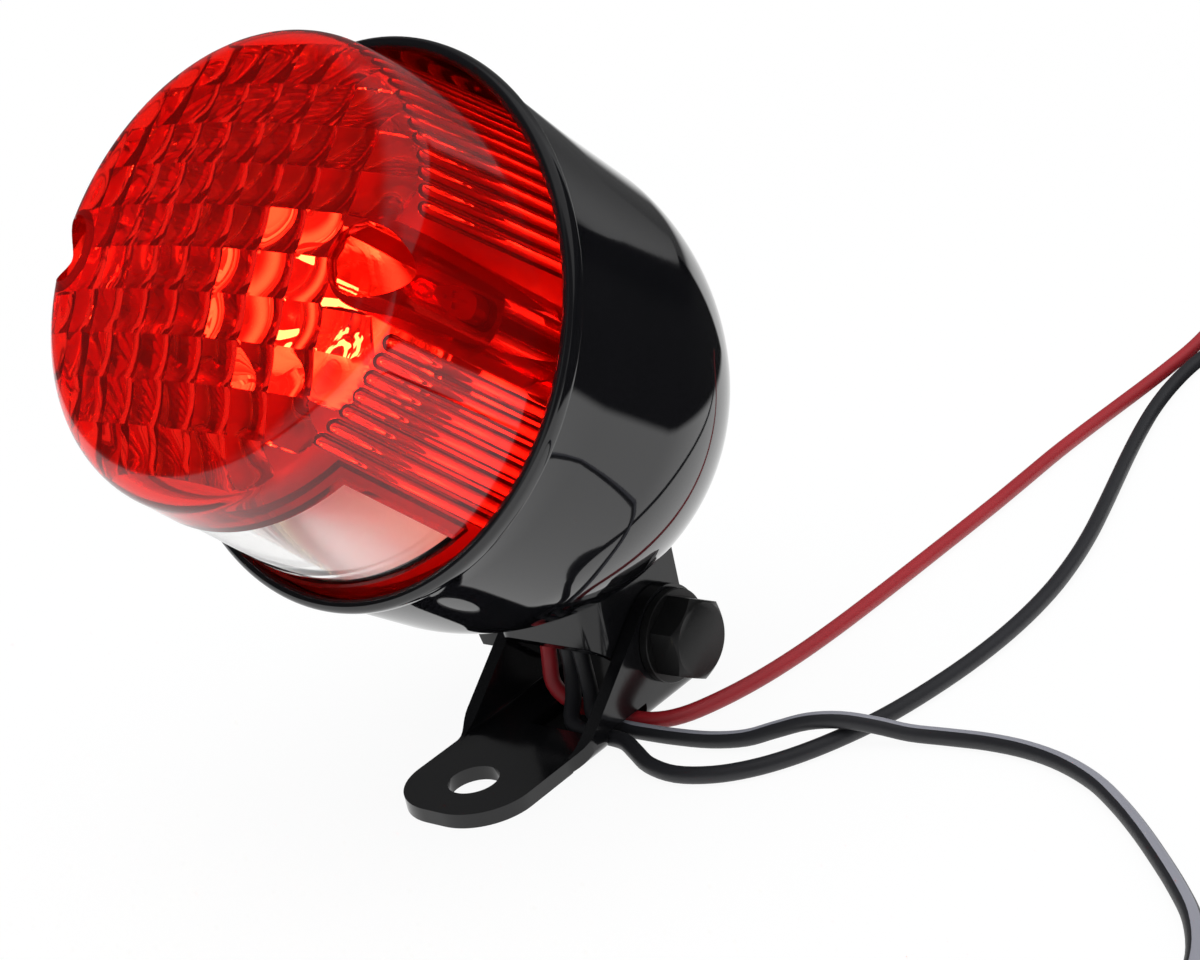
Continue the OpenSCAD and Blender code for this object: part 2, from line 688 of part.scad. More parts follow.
module contact_disc() {
  color("#7a4a22") on_lamp() difference() {
    ring(cap_d / 2 - slip / 2, 0, disc_z, disc_t);
    for (x = [-contact_x, contact_x]) translate([x, 0, 0]) drill(contact_d / 2 + fit, disc_z, disc_t);
  }
}

module contacts() {
  tail = 1.6;
  button_t = 0.7;
  color("gold") on_lamp() for (x = [-contact_x, contact_x]) translate([x, 0, 0]) {
    ring(contact_d / 2, 0, disc_z - tail, disc_t + tail);
    ring(0.8 * contact_d, 0, disc_z + disc_t, button_t);
  }
}

module bulb_cap() {
  wall = 1.2;
  floor_t = 3;
  tip_z = disc_z + disc_t + 0.8;
  pin_l = 2.4;
  pin_turn = 12;
  color("goldenrod") on_lamp() {
    difference() {
      ring(cap_d / 2, 0, cap_z, cap_l);
      drill(cap_d / 2 - wall, cap_z + floor_t + over, cap_l);
    }
    for (x = [-contact_x, contact_x]) translate([x, 0, 0])
      ring(contact_d / 1.6, 0, tip_z, cap_z - tip_z + floor_t / 2);
    // Bayonet pins at two heights
    for (s = [0, 1]) rotate([0, 0, pin_turn + 180 * s])
      translate([cap_d / 2 - wall, 0, pin_z - pin_step * s]) rotate([0, 90, 0])
        cylinder(d = pin_d, h = pin_l, $fn = 24);
  }
}

// Outline of the bulb's glass, from its neck to its round end
function glass_points(cut) =
  let (r = glass_d / 2, neck = cap_d / 2 - 1.4, rise = glass_in + 1, top = glass_l - r, foot = top - 10)
  concat([[0, 0], [neck - cut, 0], [neck - cut, rise]],
    [for (k = [0.2:0.2:1]) [neck - cut + (r - neck) * (1 - cos(180 * k)) / 2, rise + (foot - rise) * k]],
    [for (a = [0:10:90]) [(r - cut) * cos(a), top + (r - cut) * sin(a)]]);

module bulb_glass() {
  wall = glass_floor / 2;
  color("ghostwhite", 0.35) on_lamp() translate([0, 0, glass_z - glass_in]) difference() {
    rotate_extrude() polygon(glass_points(0));
    translate([0, 0, glass_floor]) rotate_extrude() polygon(glass_points(wall));
  }
}

// Glass bead and the wires that hold the two filaments
module filament_mount() {
  bead_r = 3.2;
  wire_r = 0.35;
  color("lightgrey") on_lamp() {
    ring(bead_r, 0, bead_z, bead_h);
    for (x = [-wire_x, wire_x], y = [-filament_y, filament_y])
      translate([x, y, wire_z]) cylinder(r = wire_r, h = wire_h, $fn = 16);
  }
}

module filaments() {
  coil_r = 0.7;
  half = 3.6;
  color("#ffd890") on_lamp() for (y = [-filament_y, filament_y])
    translate([0, y, wire_z + wire_h + coil_r]) rod_x(coil_r, -half, half);
}

module cable_grommet() {
  flange_t = 1.6;
  sag = pow(lead_pitch + neck_r, 2) / outlet_r;
  deep = shell_t + sag;
  color("#202022") on_lamp() at_outlet() difference() {
    union() {
      round_bar(neck_r + grommet_lip, lead_pitch, slip / 2, flange_t);
      round_bar(neck_r, lead_pitch, -deep, deep + flange_t / 2);
    }
    for (k = [-1, 0, 1]) translate([k * lead_pitch, 0, 0]) drill(lead_d / 2 + fit, -deep, deep + flange_t);
  }
}

// Leads inside the housing, from the socket's rear to the grommet's holes
module inner_leads() {
  core_d = 2.2;
  inward = [0, 1.5, 1.4];
  start = [0, 1, socket_z - 0.4];
  color("#b01818") on_lamp() for (k = [-1, 0, 1]) {
    end = [outlet_x + k * lead_pitch, -outlet_r, -outlet_deep];
    tube([start + [2.3 * k, 0, 0], start + [2.5 * k, -0.4, -3], start + [2.7 * k, -4, -8],
      end + 6 * inward, end + 3 * inward, end + inward], core_d);
  }
}

// Side outline of the ears, round the tilt bolt
module ear_side() {
  nose = [-ear_front, ear_nose - pivot_h];
  tab_top = foot_t - pivot_h;
  turn = touch(nose, ear_r, -1);
  corner = nose + (nose - turn) * (nose[1] - tab_top) / (turn[1] - nose[1]);
  front = [-ear_front - ear_flow, tab_top];
  heel = [ear_back, -pivot_h];
  polygon(concat([[front[0], -pivot_h]],
    [for (k = [0:0.2:1]) (1 - k) * (1 - k) * front + 2 * k * (1 - k) * corner + k * k * nose],
    [turn, [0, 0], touch(heel, ear_r, 1), heel]));
  circle(r = ear_r);
}

// Plan of the ears, drawn in to the tab's width at their front end
module ear_plan() {
  flare = [for (k = [0:0.125:1]) [tab_w / 2 + (ear_x - tab_w / 2) * (1 - cos(180 * k)) / 2,
    -ear_front - ear_flow * (1 - k)]];
  for (s = [-1, 1]) scale([s, 1]) polygon(concat([[-over, -ear_front - ear_flow]], flare,
    [[ear_x, ear_back], [-over, ear_back]]));
}

// Cross section of the ears and the web between them
module channel_section() {
  in_r = bend_r - foot_t;
  high = pivot_h + ear_r + over;
  mid_x = ear_x - bend_r;
  difference() {
    union() {
      translate([-ear_x, bend_r]) square([ear_w, high - bend_r]);
      translate([-mid_x, 0]) square([2 * mid_x, bend_r + over]);
      for (s = [-1, 1]) translate([s * mid_x, bend_r]) circle(r = bend_r);
    }
    translate([foot_t - ear_x, bend_r]) square([ear_w - 2 * foot_t, high]);
    translate([-mid_x, foot_t]) square([2 * mid_x, high]);
    for (s = [-1, 1]) translate([s * mid_x, bend_r]) circle(r = in_r);
  }
}

module foot_bracket() {
  tab_back = pivot_back - ear_front - ear_flow + tab_reach - tab_r;
  color("#141416") difference() {
    union() {
      translate([0, pivot_back, 0]) intersection() {
        translate([0, ear_back, 0]) rotate([90, 0, 0])
          linear_extrude(height = ear_back + ear_front + ear_flow) channel_section();
        translate([-ear_w, 0, pivot_h]) rotate([90, 0, 90]) linear_extrude(height = 2 * ear_w) ear_side();
        translate([0, 0, -over]) linear_extrude(height = 2 * pivot_h + ear_r) ear_plan();
      }
      // Tab with a round end
      translate([-tab_w / 2, tab_r - tab_reach, 0]) cube([tab_w, tab_back + over, foot_t]);
      translate([tab_r - tab_w / 2, -tab_reach, 0]) cube([tab_w - 2 * tab_r, tab_r + over, foot_t]);
      for (s = [-1, 1]) translate([s * (tab_w / 2 - tab_r), tab_r - tab_reach, 0])
        cylinder(r = tab_r, h = foot_t);
    }
    drill(foot_hole_d / 2, 0, foot_t);
    on_pivot() rod_x(bolt_d / 2 + slip, -ear_w, ear_w);
    // Slot that lets the leads out under one ear
    translate([-slot_in, pivot_back - slot_back - slot_w, -over])
      cube([slot_in + ear_w, slot_w, slot_h + over]);
  }
}

module tilt_bolt() {
  color("#2a2a2c") on_pivot() {
    rod_x(bolt_d / 2, head_x - bolt_l, head_x + head_h / 2);
    hex_x(bolt_af, head_x, head_x + head_h, 1);
  }
}

module tilt_washers() {
  color("#2a2a2c") on_pivot() for (x = [ear_x, -ear_x - washer_t]) difference() {
    rod_x(washer_d / 2, x, x + washer_t);
    rod_x(bolt_d / 2 + slip, x - over, x + washer_t + over);
  }
}

module spring_washer() {
  r = 0.85 * washer_d / 2;
  cut_w = 0.8;
  cut_lean = 18;
  color("silver") on_pivot() difference() {
    rod_x(r, nut_x, nut_x + spring_t);
    rod_x(bolt_d / 2 + slip, nut_x - over, nut_x + spring_t + over);
    translate([nut_x + spring_t / 2, 0, r]) rotate([0, 0, cut_lean])
      translate([-spring_t, -cut_w / 2, -r]) cube([2 * spring_t, cut_w, 2 * r]);
  }
}

module tilt_nut() {
  color("#2a2a2c") on_pivot() difference() {
    hex_x(bolt_af, nut_x - nut_h, nut_x, -1);
    rod_x(bolt_d / 2 + fit, nut_x - nut_h - over, nut_x + over);
  }
}

// The leads from the grommet to just past the ear
module lead_drops() {
  color("#1a1a1a") for (p = [red_line, black_line, stripe_line])
    tube(p, lead_d, past = len(p) - 1 - drop_n);
}

module red_lead() { color("#c01c24") tube(red_line, lead_d, first = drop_n); }

module black_lead() { color("#1a1a1a") tube(black_line, lead_d, first = drop_n); }

module grey_stripe_lead() { color("#2c2c30") tube(stripe_line, lead_d, first = drop_n); }

housing();
housing_leg();
cross_strap();
reflector_plate();
plate_screws();
plate_nuts();
lens_gasket();
red_lens();
plate_window();
lens_screws();
screw_seals();
bulb_socket();
contact_spring();
contact_disc();
contacts();
bulb_cap();
bulb_glass();
filament_mount();
filaments();
earth_eyelet();
inner_leads();
cable_grommet();
foot_bracket();
tilt_bolt();
tilt_washers();
spring_washer();
tilt_nut();
lead_drops();
red_lead();
black_lead();
grey_stripe_lead();
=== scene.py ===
import json
import math

import bpy
from mathutils import Matrix, Vector
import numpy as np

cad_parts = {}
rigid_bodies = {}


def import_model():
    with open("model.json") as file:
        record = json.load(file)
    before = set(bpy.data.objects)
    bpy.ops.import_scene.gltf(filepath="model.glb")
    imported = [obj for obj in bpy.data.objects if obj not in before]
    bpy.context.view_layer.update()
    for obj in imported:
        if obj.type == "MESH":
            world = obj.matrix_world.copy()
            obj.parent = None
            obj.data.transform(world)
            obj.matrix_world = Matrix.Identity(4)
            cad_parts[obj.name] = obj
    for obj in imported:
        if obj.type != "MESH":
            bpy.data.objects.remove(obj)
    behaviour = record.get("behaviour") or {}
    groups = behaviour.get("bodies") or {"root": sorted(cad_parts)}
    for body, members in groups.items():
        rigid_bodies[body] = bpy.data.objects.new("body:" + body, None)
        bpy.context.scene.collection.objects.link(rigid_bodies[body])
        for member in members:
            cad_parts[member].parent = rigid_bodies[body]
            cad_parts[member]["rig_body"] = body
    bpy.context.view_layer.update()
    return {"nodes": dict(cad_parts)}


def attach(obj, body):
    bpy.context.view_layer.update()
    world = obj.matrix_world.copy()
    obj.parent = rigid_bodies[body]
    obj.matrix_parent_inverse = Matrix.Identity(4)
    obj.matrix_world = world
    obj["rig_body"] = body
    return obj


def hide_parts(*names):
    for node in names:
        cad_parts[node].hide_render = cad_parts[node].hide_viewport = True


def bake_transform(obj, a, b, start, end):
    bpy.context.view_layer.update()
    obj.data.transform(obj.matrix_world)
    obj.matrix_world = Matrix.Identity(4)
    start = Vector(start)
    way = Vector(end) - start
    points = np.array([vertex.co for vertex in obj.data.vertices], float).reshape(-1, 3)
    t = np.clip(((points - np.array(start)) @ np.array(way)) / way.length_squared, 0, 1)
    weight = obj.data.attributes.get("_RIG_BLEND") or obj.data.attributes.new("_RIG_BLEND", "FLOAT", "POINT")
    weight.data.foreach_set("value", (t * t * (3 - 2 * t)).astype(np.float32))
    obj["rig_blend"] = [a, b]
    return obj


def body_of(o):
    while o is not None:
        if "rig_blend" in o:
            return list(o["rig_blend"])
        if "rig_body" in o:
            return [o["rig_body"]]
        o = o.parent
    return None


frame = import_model()
scene = bpy.context.scene
scene.view_settings.view_transform = "Standard"

# The camera stands low to the right of the lamp, ahead of it and a little above, with a
# long lens that is turned a few degrees about its own axis. The lit filaments reach it only
# through the lens, so light this bright isn't clipped on its way.
brightest_indirect = 120
scene.cycles.sample_clamp_indirect = brightest_indirect
camera_place = Vector((0.26744, -0.2434, 0.18918))
camera_aim = Vector((0.03928, 0.00235, 0.05822))
camera_roll = math.radians(-12.5)
camera_data = bpy.data.cameras.new("camera")
camera_data.lens = 75
camera_data.sensor_width = 36
camera_data.clip_start = 0.01
camera = bpy.data.objects.new("camera", camera_data)
scene.collection.objects.link(camera)
camera.location = camera_place
looking = (camera_aim - camera_place).to_track_quat("-Z", "Y").to_matrix()
camera.rotation_euler = (looking @ Matrix.Rotation(camera_roll, 3, "Z")).to_euler()
scene.camera = camera

# Three single-core leads, copper strands in soft plastic: red, black, and black with a grey
# stripe. They leave the head through the grommet, come out under the foot's ear and lie on
# the ground. Each ends in a few millimetres of bare strands.
lead_d = 0.0028
bare_end = 0.006
lead_sides = 24
strand_n = 7
strand_d = 0.0005
strand_sides = 8
strand_spread = 1.02
strand_turn = 0.7
red_route = [
    (-0.0047, 0.0288, 0.0203), (-0.0048, 0.0288, 0.015), (-0.0052, 0.0284, 0.0095),
    (-0.0046, 0.0274, 0.005), (-0.001, 0.027, 0.0024), (0.005, 0.0269, 0.0015),
    (0.01, 0.0267, 0.0015), (0.016, 0.027, 0.0015), (0.0202, 0.03, 0.0015),
    (0.0232, 0.036, 0.0015), (0.0256, 0.044, 0.0015), (0.0272, 0.053, 0.0015),
    (0.0282, 0.063, 0.0015), (0.0288, 0.074, 0.0015), (0.0292, 0.085, 0.0015),
    (0.0295, 0.096, 0.0015), (0.0298, 0.107, 0.0015), (0.03, 0.118, 0.0015),
    (0.03, 0.129, 0.0015), (0.03, 0.14, 0.0015), (0.0304, 0.151, 0.0015),
    (0.031, 0.162, 0.0015), (0.0316, 0.173, 0.0015), (0.032, 0.184, 0.0015),
    (0.032, 0.195, 0.0015), (0.031, 0.206, 0.0015), (0.029, 0.216, 0.0015),
    (0.026, 0.225, 0.0015), (0.022, 0.233, 0.0015),
]
black_route = [
    (-0.0016, 0.0288, 0.0203), (-0.0013, 0.0288, 0.015), (-0.0004, 0.0282, 0.0095),
    (0.0012, 0.0256, 0.005), (0.0034, 0.0216, 0.0023), (0.007, 0.0203, 0.0015),
    (0.0115, 0.0201, 0.0015), (0.016, 0.0196, 0.0015), (0.02, 0.0174, 0.0015),
    (0.025, 0.0146, 0.0015), (0.031, 0.0136, 0.0015), (0.037, 0.0154, 0.0015),
    (0.042, 0.019, 0.0015), (0.0462, 0.024, 0.0015), (0.05, 0.0306, 0.0015),
    (0.0536, 0.0394, 0.0015), (0.0562, 0.05, 0.0015), (0.058, 0.062, 0.0015),
    (0.0586, 0.074, 0.0015), (0.058, 0.086, 0.0015), (0.0564, 0.097, 0.0015),
    (0.054, 0.108, 0.0015), (0.051, 0.119, 0.0015), (0.0478, 0.13, 0.0015),
    (0.0446, 0.141, 0.0015), (0.0416, 0.152, 0.0015), (0.039, 0.163, 0.0015),
    (0.0372, 0.174, 0.0015), (0.0364, 0.185, 0.0015), (0.037, 0.196, 0.0015),
    (0.039, 0.206, 0.0015), (0.042, 0.215, 0.0015),
]
stripe_route = [
    (0.0015, 0.0288, 0.0203), (0.0019, 0.0286, 0.015), (0.0029, 0.0278, 0.0095),
    (0.0045, 0.0263, 0.0052), (0.0062, 0.0241, 0.0028), (0.009, 0.0234, 0.0016),
    (0.012, 0.0233, 0.0015), (0.016, 0.0233, 0.0015), (0.023, 0.0236, 0.0015),
    (0.03, 0.0246, 0.0015), (0.036, 0.0262, 0.002), (0.041, 0.028, 0.0034),
    (0.046, 0.03, 0.0046), (0.051, 0.032, 0.0046), (0.056, 0.034, 0.0034),
    (0.061, 0.0356, 0.002), (0.067, 0.037, 0.0015), (0.074, 0.0376, 0.0015),
    (0.081, 0.0372, 0.0015), (0.088, 0.0354, 0.0015), (0.095, 0.032, 0.0015),
    (0.101, 0.0276, 0.0015), (0.107, 0.0224, 0.0015), (0.113, 0.0166, 0.0015),
    (0.119, 0.0104, 0.0015), (0.124, 0.0044, 0.0015), (0.128, -0.003, 0.0015),
    (0.13, -0.011, 0.0015), (0.129, -0.019, 0.0015), (0.125, -0.026, 0.0015),
    (0.119, -0.031, 0.0015), (0.111, -0.0346, 0.0015), (0.102, -0.037, 0.0015),
    (0.093, -0.039, 0.0015), (0.084, -0.041, 0.0015), (0.075, -0.043, 0.0015),
]


def smooth_line(points):
    """Points on one smooth curve that passes through all of the given ones."""
    per_span = 4
    p = [Vector(q) for q in points]
    p = [2 * p[0] - p[1], *p, 2 * p[-1] - p[-2]]
    line = []
    for a, b, c, d in zip(p, p[1:], p[2:], p[3:]):
        for k in range(per_span):
            t = k / per_span
            bend, twist = 2 * a - 5 * b + 4 * c - d, 3 * b - a - 3 * c + d
            line.append(b + 0.5 * t * ((c - a) + t * (bend + t * twist)))
    return [*line, p[-2]]


def cross_sections(line):
    """Two directions square to the line at each of its points, carried along without a twist."""
    last = len(line) - 1
    ahead = [(line[min(i + 1, last)] - line[max(i - 1, 0)]).normalized() for i in range(last + 1)]
    side = ahead[0].orthogonal().normalized() if abs(ahead[0].z) < 0.9 else Vector((0, -1, 0))
    found = []
    for direction in ahead:
        side = (side - direction * side.dot(direction)).normalized()
        found.append((side, direction.cross(side)))
    return found


def swept(name, lines, diameter, sides):
    """One closed tube along each line, with a UV map: u goes round it and v along it in metres."""
    points, faces, uvs = [], [], []
    for line in lines:
        start, along = len(points), 0
        for i, (middle, (side, up)) in enumerate(zip(line, cross_sections(line))):
            for k in range(sides):
                turn = 2 * math.pi * k / sides
                points.append(middle + diameter / 2 * (math.cos(turn) * side + math.sin(turn) * up))
            if i:
                step = (middle - line[i - 1]).length
                for k in range(sides):
                    a, b = start + (i - 1) * sides + k, start + (i - 1) * sides + (k + 1) % sides
                    faces.append((a, b, b + sides, a + sides))
                    u0, u1 = k / sides, (k + 1) / sides
                    uvs += [(u0, along), (u1, along), (u1, along + step), (u0, along + step)]
                along += step
        last = len(points) - sides
        faces += [tuple(range(start + sides - 1, start - 1, -1)), tuple(range(last, last + sides))]
        uvs += [(0, 0)] * sides + [(0, along)] * sides
    mesh = bpy.data.meshes.new(name)
    mesh.from_pydata(points, [], faces)
    layer = mesh.uv_layers.new(name="round_and_along")
    for loop, uv in zip(layer.data, uvs):
        loop.uv = uv
    mesh.shade_smooth()
    piece = bpy.data.objects.new(name, mesh)
    scene.collection.objects.link(piece)
    return piece


def lay_lead(name, route, *nodes):
    """A lead along its route, from the grommet to its stripped end with the strands."""
    line = smooth_line(route)
    cut = len(line) - 1
    while (line[cut] - line[-1]).length < bare_end:
        cut -= 1
    jacket = swept(name, [line[: cut + 1]], lead_d, lead_sides)
    core, around = line[cut - 1 :], cross_sections(line[cut - 1 :])
    strands = []
    for k in range(strand_n):
        off = 0 if k == 0 else strand_spread * strand_d
        strands.append([
            p + off * (math.cos(k + strand_turn * i) * side + math.sin(k + strand_turn * i) * up)
            for i, (p, (side, up)) in enumerate(zip(core, around))
        ])
    stripped = swept(name + "_strands", strands, strand_d, strand_sides)
    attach(stripped, "foot")
    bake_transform(jacket, "lamp_head", "foot", start=(0, 0.03, 0.020), end=(0, 0.03, 0.0062))
    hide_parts(*nodes)
    return jacket, stripped


red_lead, red_strands = lay_lead("red_lead_wire", red_route, "red_lead", "lead_drops")
black_lead, black_strands = lay_lead("black_lead_wire", black_route, "black_lead", "lead_drops")
stripe_lead, stripe_strands = lay_lead("stripe_lead_wire", stripe_route,
                                       "grey_stripe_lead", "lead_drops")


def socket(node, name):
    """The input in use that has this name, with _ for a space and small letters."""
    return next(s for s in node.inputs if s.enabled and s.name.lower() == name.replace("_", " "))


def add(tree, kind, settings=(), **inputs):
    """A node with its settings, and each input set to a value or joined to a node's output."""
    node = tree.nodes.new(kind)
    for name, value in dict(settings).items():
        setattr(node, name, value)
    for name, value in inputs.items():
        if isinstance(value, bpy.types.NodeSocket):
            tree.links.new(value, socket(node, name))
        else:
            socket(node, name).default_value = value
    return node


def blank(name):
    """A new material's tree with only its output node."""
    material = bpy.data.materials.new(name)
    material.use_nodes = True
    material.node_tree.nodes.clear()
    add(material.node_tree, "ShaderNodeOutputMaterial")
    return material, material.node_tree


def show(tree, shader):
    """Joins a shader to the material's output."""
    tree.links.new(shader, tree.nodes["Material Output"].inputs["Surface"])


def mixed(tree, mask, first, second):
    """A colour between two, each a value or another node's output, by a mask."""
    node = add(tree, "ShaderNodeMix", {"data_type": "RGBA"}, factor=mask, a=first, b=second)
    return next(s for s in node.outputs if s.enabled)


def tones(tree, mask, dark, light):
    """A colour between two plain ones, by a mask."""
    return mixed(tree, mask, (*dark, 1), (*light, 1))


def between(tree, mask, low, high):
    """A number between two, by a mask."""
    return add(tree, "ShaderNodeMapRange", value=mask, to_min=low, to_max=high).outputs[0]


def surface_group():
    """Slow and fine unevenness of a surface, as two masks and a height."""
    slow_scale, fine_share = 60, 0.7
    group = bpy.data.node_groups.new("surface_grain", "ShaderNodeTree")
    for name, kind in (("Vector", "NodeSocketVector"), ("Grain", "NodeSocketFloat")):
        group.interface.new_socket(name, in_out="INPUT", socket_type=kind)
    for name in ("Slow", "Fine", "Height"):
        group.interface.new_socket(name, in_out="OUTPUT", socket_type="NodeSocketFloat")
    given = group.nodes.new("NodeGroupInput")
    slow = add(group, "ShaderNodeTexNoise", vector=given.outputs["Vector"], scale=slow_scale,
               detail=3)
    fine = add(group, "ShaderNodeTexNoise", vector=given.outputs["Vector"],
               scale=given.outputs["Grain"], detail=4, roughness=0.6)
    both = add(group, "ShaderNodeMath", {"operation": "MULTIPLY_ADD"})
    group.links.new(fine.outputs[0], both.inputs[0])
    both.inputs[1].default_value = fine_share
    group.links.new(slow.outputs[0], both.inputs[2])
    put = group.nodes.new("NodeGroupOutput")
    for name, source in (("Slow", slow), ("Fine", fine), ("Height", both)):
        group.links.new(source.outputs[0], put.inputs[name])
    return group


grain = surface_group()


def grained(tree, size):
    """The grain group in a material; size is that of one grain in metres."""
    node = add(tree, "ShaderNodeGroup", {"node_tree": grain})
    tree.links.new(add(tree, "ShaderNodeTexCoord").outputs["Object"], node.inputs["Vector"])
    node.inputs["Grain"].default_value = 1 / size
    return node


def bumped(tree, height, depth):
    """The normal that a height of this depth in metres gives."""
    return add(tree, "ShaderNodeBump", strength=1.0, distance=depth, height=height).outputs[0]


def finish(name, dark, light, smooth, rough, size, depth, **more):
    """A surface between two tones and two roughnesses, with its own size and depth of grain."""
    material, tree = blank(name)
    marks = grained(tree, size)
    shader = add(tree, "ShaderNodeBsdfPrincipled",
                 base_color=tones(tree, marks.outputs["Slow"], dark, light),
                 roughness=between(tree, marks.outputs["Fine"], smooth, rough),
                 normal=bumped(tree, marks.outputs["Height"], depth), **more)
    show(tree, shader.outputs[0])
    return material


def dress(piece, material):
    """Gives a piece or a CAD node one material all over."""
    if not piece.material_slots:
        piece.data.materials.append(material)
    for slot in piece.material_slots:
        slot.material = material


def arithmetic(tree, operation, *values):
    """One sum on numbers or other nodes' outputs."""
    node = add(tree, "ShaderNodeMath", {"operation": operation})
    for put, value in zip(node.inputs, values):
        if isinstance(value, bpy.types.NodeSocket):
            tree.links.new(value, put)
        else:
            put.default_value = value
    return node.outputs[0]


def rise(tree, value, low, high, **more):
    """A smooth step from 0 to 1 between two values."""
    return add(tree, "ShaderNodeMapRange", {"interpolation_type": "SMOOTHSTEP"}, value=value,
               from_min=low, from_max=high, **more).outputs[0]


black_tones = (0.012, 0.012, 0.014), (0.022, 0.022, 0.026)
grey_tones = (0.22, 0.22, 0.25), (0.30, 0.30, 0.34)
plastic_sheen = 0.38, 0.55
plastic_grain = 0.0006
plastic_depth = 0.00002
red_plastic = finish("red_plastic", (0.30, 0.010, 0.016), (0.42, 0.020, 0.028), 0.34, 0.50,
                     plastic_grain, plastic_depth)
black_plastic = finish("black_plastic", *black_tones, *plastic_sheen, plastic_grain, plastic_depth)
copper = finish("tinned_copper", (0.72, 0.42, 0.24), (0.85, 0.60, 0.42), 0.2, 0.4, 0.0003, 0.00001,
                metallic=1)


def striped_plastic():
    """Black plastic with a grey band along the lead, which turns to its other side in the drop."""
    band_at, band_half = 0.8, 0.09
    turn_start, turn_end, half_turn = 0.012, 0.03, 0.5
    material, tree = blank("striped_plastic")
    marks = grained(tree, plastic_grain)
    place = add(tree, "ShaderNodeSeparateXYZ", vector=add(tree, "ShaderNodeTexCoord").outputs["UV"])
    turned = rise(tree, place.outputs["Y"], turn_start, turn_end, to_min=half_turn, to_max=0)
    at = arithmetic(tree, "ADD", place.outputs["X"], turned)
    on_band = arithmetic(tree, "COMPARE", at, band_at, band_half)
    base = tones(tree, marks.outputs["Slow"], *black_tones)
    band = tones(tree, marks.outputs["Slow"], *grey_tones)
    shader = add(tree, "ShaderNodeBsdfPrincipled", base_color=mixed(tree, on_band, base, band),
                 roughness=between(tree, marks.outputs["Fine"], *plastic_sheen),
                 normal=bumped(tree, marks.outputs["Height"], plastic_depth))
    show(tree, shader.outputs[0])
    return material


dress(red_lead, red_plastic)
dress(black_lead, black_plastic)
dress(stripe_lead, striped_plastic())
for strands in (red_strands, black_strands, stripe_strands):
    dress(strands, copper)

# The lamp stands on a plain white surface that runs on to a white horizon. The surface keeps
# a pale shadow near the lamp, and painted shade makes it dark under the foot's channel. Gloss
# paint mirrors it darker far out and behind the lamp, where a dark card lies.
floor_half = 4
bpy.ops.object.select_all(action="DESELECT")
bpy.ops.mesh.primitive_plane_add(size=2 * floor_half, location=(0, 0, 0))
floor = bpy.context.object
floor.name = "floor"


def along(tree, vector, direction):
    """How far a vector reaches in a direction."""
    node = add(tree, "ShaderNodeVectorMath", {"operation": "DOT_PRODUCT"}, vector=vector)
    node.inputs[1].default_value = direction
    return node.outputs["Value"]


def dark_side(tree, vector, edge):
    """How far a vector reaches toward the room's dark side, and a mask of that side.

    The side opens behind the lamp on its right, and edge is where it ends beside the lamp."""
    soft_edge = 0.1
    away = along(tree, vector, (0.707, 0.707, 0))
    beside = arithmetic(tree, "DIVIDE", along(tree, vector, (-0.707, 0.707, 0)),
                        arithmetic(tree, "MAXIMUM", away, 0.001))
    within = arithmetic(tree, "SUBTRACT", 1, rise(tree, beside, edge, edge + soft_edge))
    return away, arithmetic(tree, "MULTIPLY", rise(tree, beside, -1.5, -1.3), within)


def lit(tree, seen, in_gloss, through, plain):
    """Emission where the camera, a reflection or glass looks, and plain paint in soft light."""
    rays = add(tree, "ShaderNodeLightPath").outputs
    part = arithmetic(tree, "MULTIPLY", rays["Is Camera Ray"], seen)
    part = arithmetic(tree, "MULTIPLY_ADD", rays["Is Glossy Ray"], in_gloss, part)
    part = arithmetic(tree, "MULTIPLY_ADD", rays["Is Transmission Ray"], through, part)
    other = arithmetic(tree, "MAXIMUM", rays["Is Glossy Ray"], rays["Is Transmission Ray"])
    not_seen = arithmetic(tree, "SUBTRACT", 1, rays["Is Camera Ray"])
    other = arithmetic(tree, "MULTIPLY", other, not_seen)
    black = add(tree, "ShaderNodeMixShader", fac=other)
    tree.links.new(plain, black.inputs[1])
    white = add(tree, "ShaderNodeEmission", color=(1, 1, 1, 1), strength=1)
    both = add(tree, "ShaderNodeMixShader", fac=part)
    tree.links.new(black.outputs[0], both.inputs[1])
    tree.links.new(white.outputs[0], both.inputs[2])
    return both.outputs[0]


def floor_paint():
    """White paint with a painted shade spot under the foot and the card behind the lamp."""
    foot_middle, painted_shade_r, painted_shade_edge_r = (-0.001, 0.026, 0), 0.0105, 0.0135
    near_share, card_edge, card_light, far_light, through_glass = 0.93, 1.1, 0.02, 0.12, 0.25
    material, tree = blank("white_floor")
    place = add(tree, "ShaderNodeTexCoord").outputs["Object"]
    far = add(tree, "ShaderNodeVectorMath", {"operation": "LENGTH"}, vector=place).outputs["Value"]
    share = add(tree, "ShaderNodeMapRange", value=far, from_min=0.12, from_max=0.5,
                to_min=near_share, to_max=1.0).outputs[0]
    under = add(tree, "ShaderNodeVectorMath", {"operation": "DISTANCE"}, vector=place)
    under.inputs[1].default_value = foot_middle
    # Painted shade: a dark spot under the foot's channel, in the floor's white, its reflections and its matt
    # colour.
    clear_of_painted_shade = rise(tree, under.outputs["Value"], painted_shade_r, painted_shade_edge_r)
    away, dark = dark_side(tree, place, card_edge)
    card = arithmetic(tree, "MULTIPLY", dark, rise(tree, away, 0.135, 0.15))
    in_gloss = arithmetic(tree, "MULTIPLY", between(tree, card, 1.0, card_light),
                          between(tree, rise(tree, far, 0.45, 1.2), 1.0, far_light))
    in_gloss = arithmetic(tree, "MULTIPLY", in_gloss, clear_of_painted_shade)
    # The matt colour is painted dark under the foot's channel, as painted shade.
    matt = add(tree, "ShaderNodeBsdfDiffuse",
               color=tones(tree, clear_of_painted_shade, (0.02, 0.02, 0.02), (0.9, 0.9, 0.9)))
    seen = arithmetic(tree, "MULTIPLY", share, clear_of_painted_shade)
    show(tree, lit(tree, seen, in_gloss, through_glass, matt.outputs[0]))
    return material


dress(floor, floor_paint())

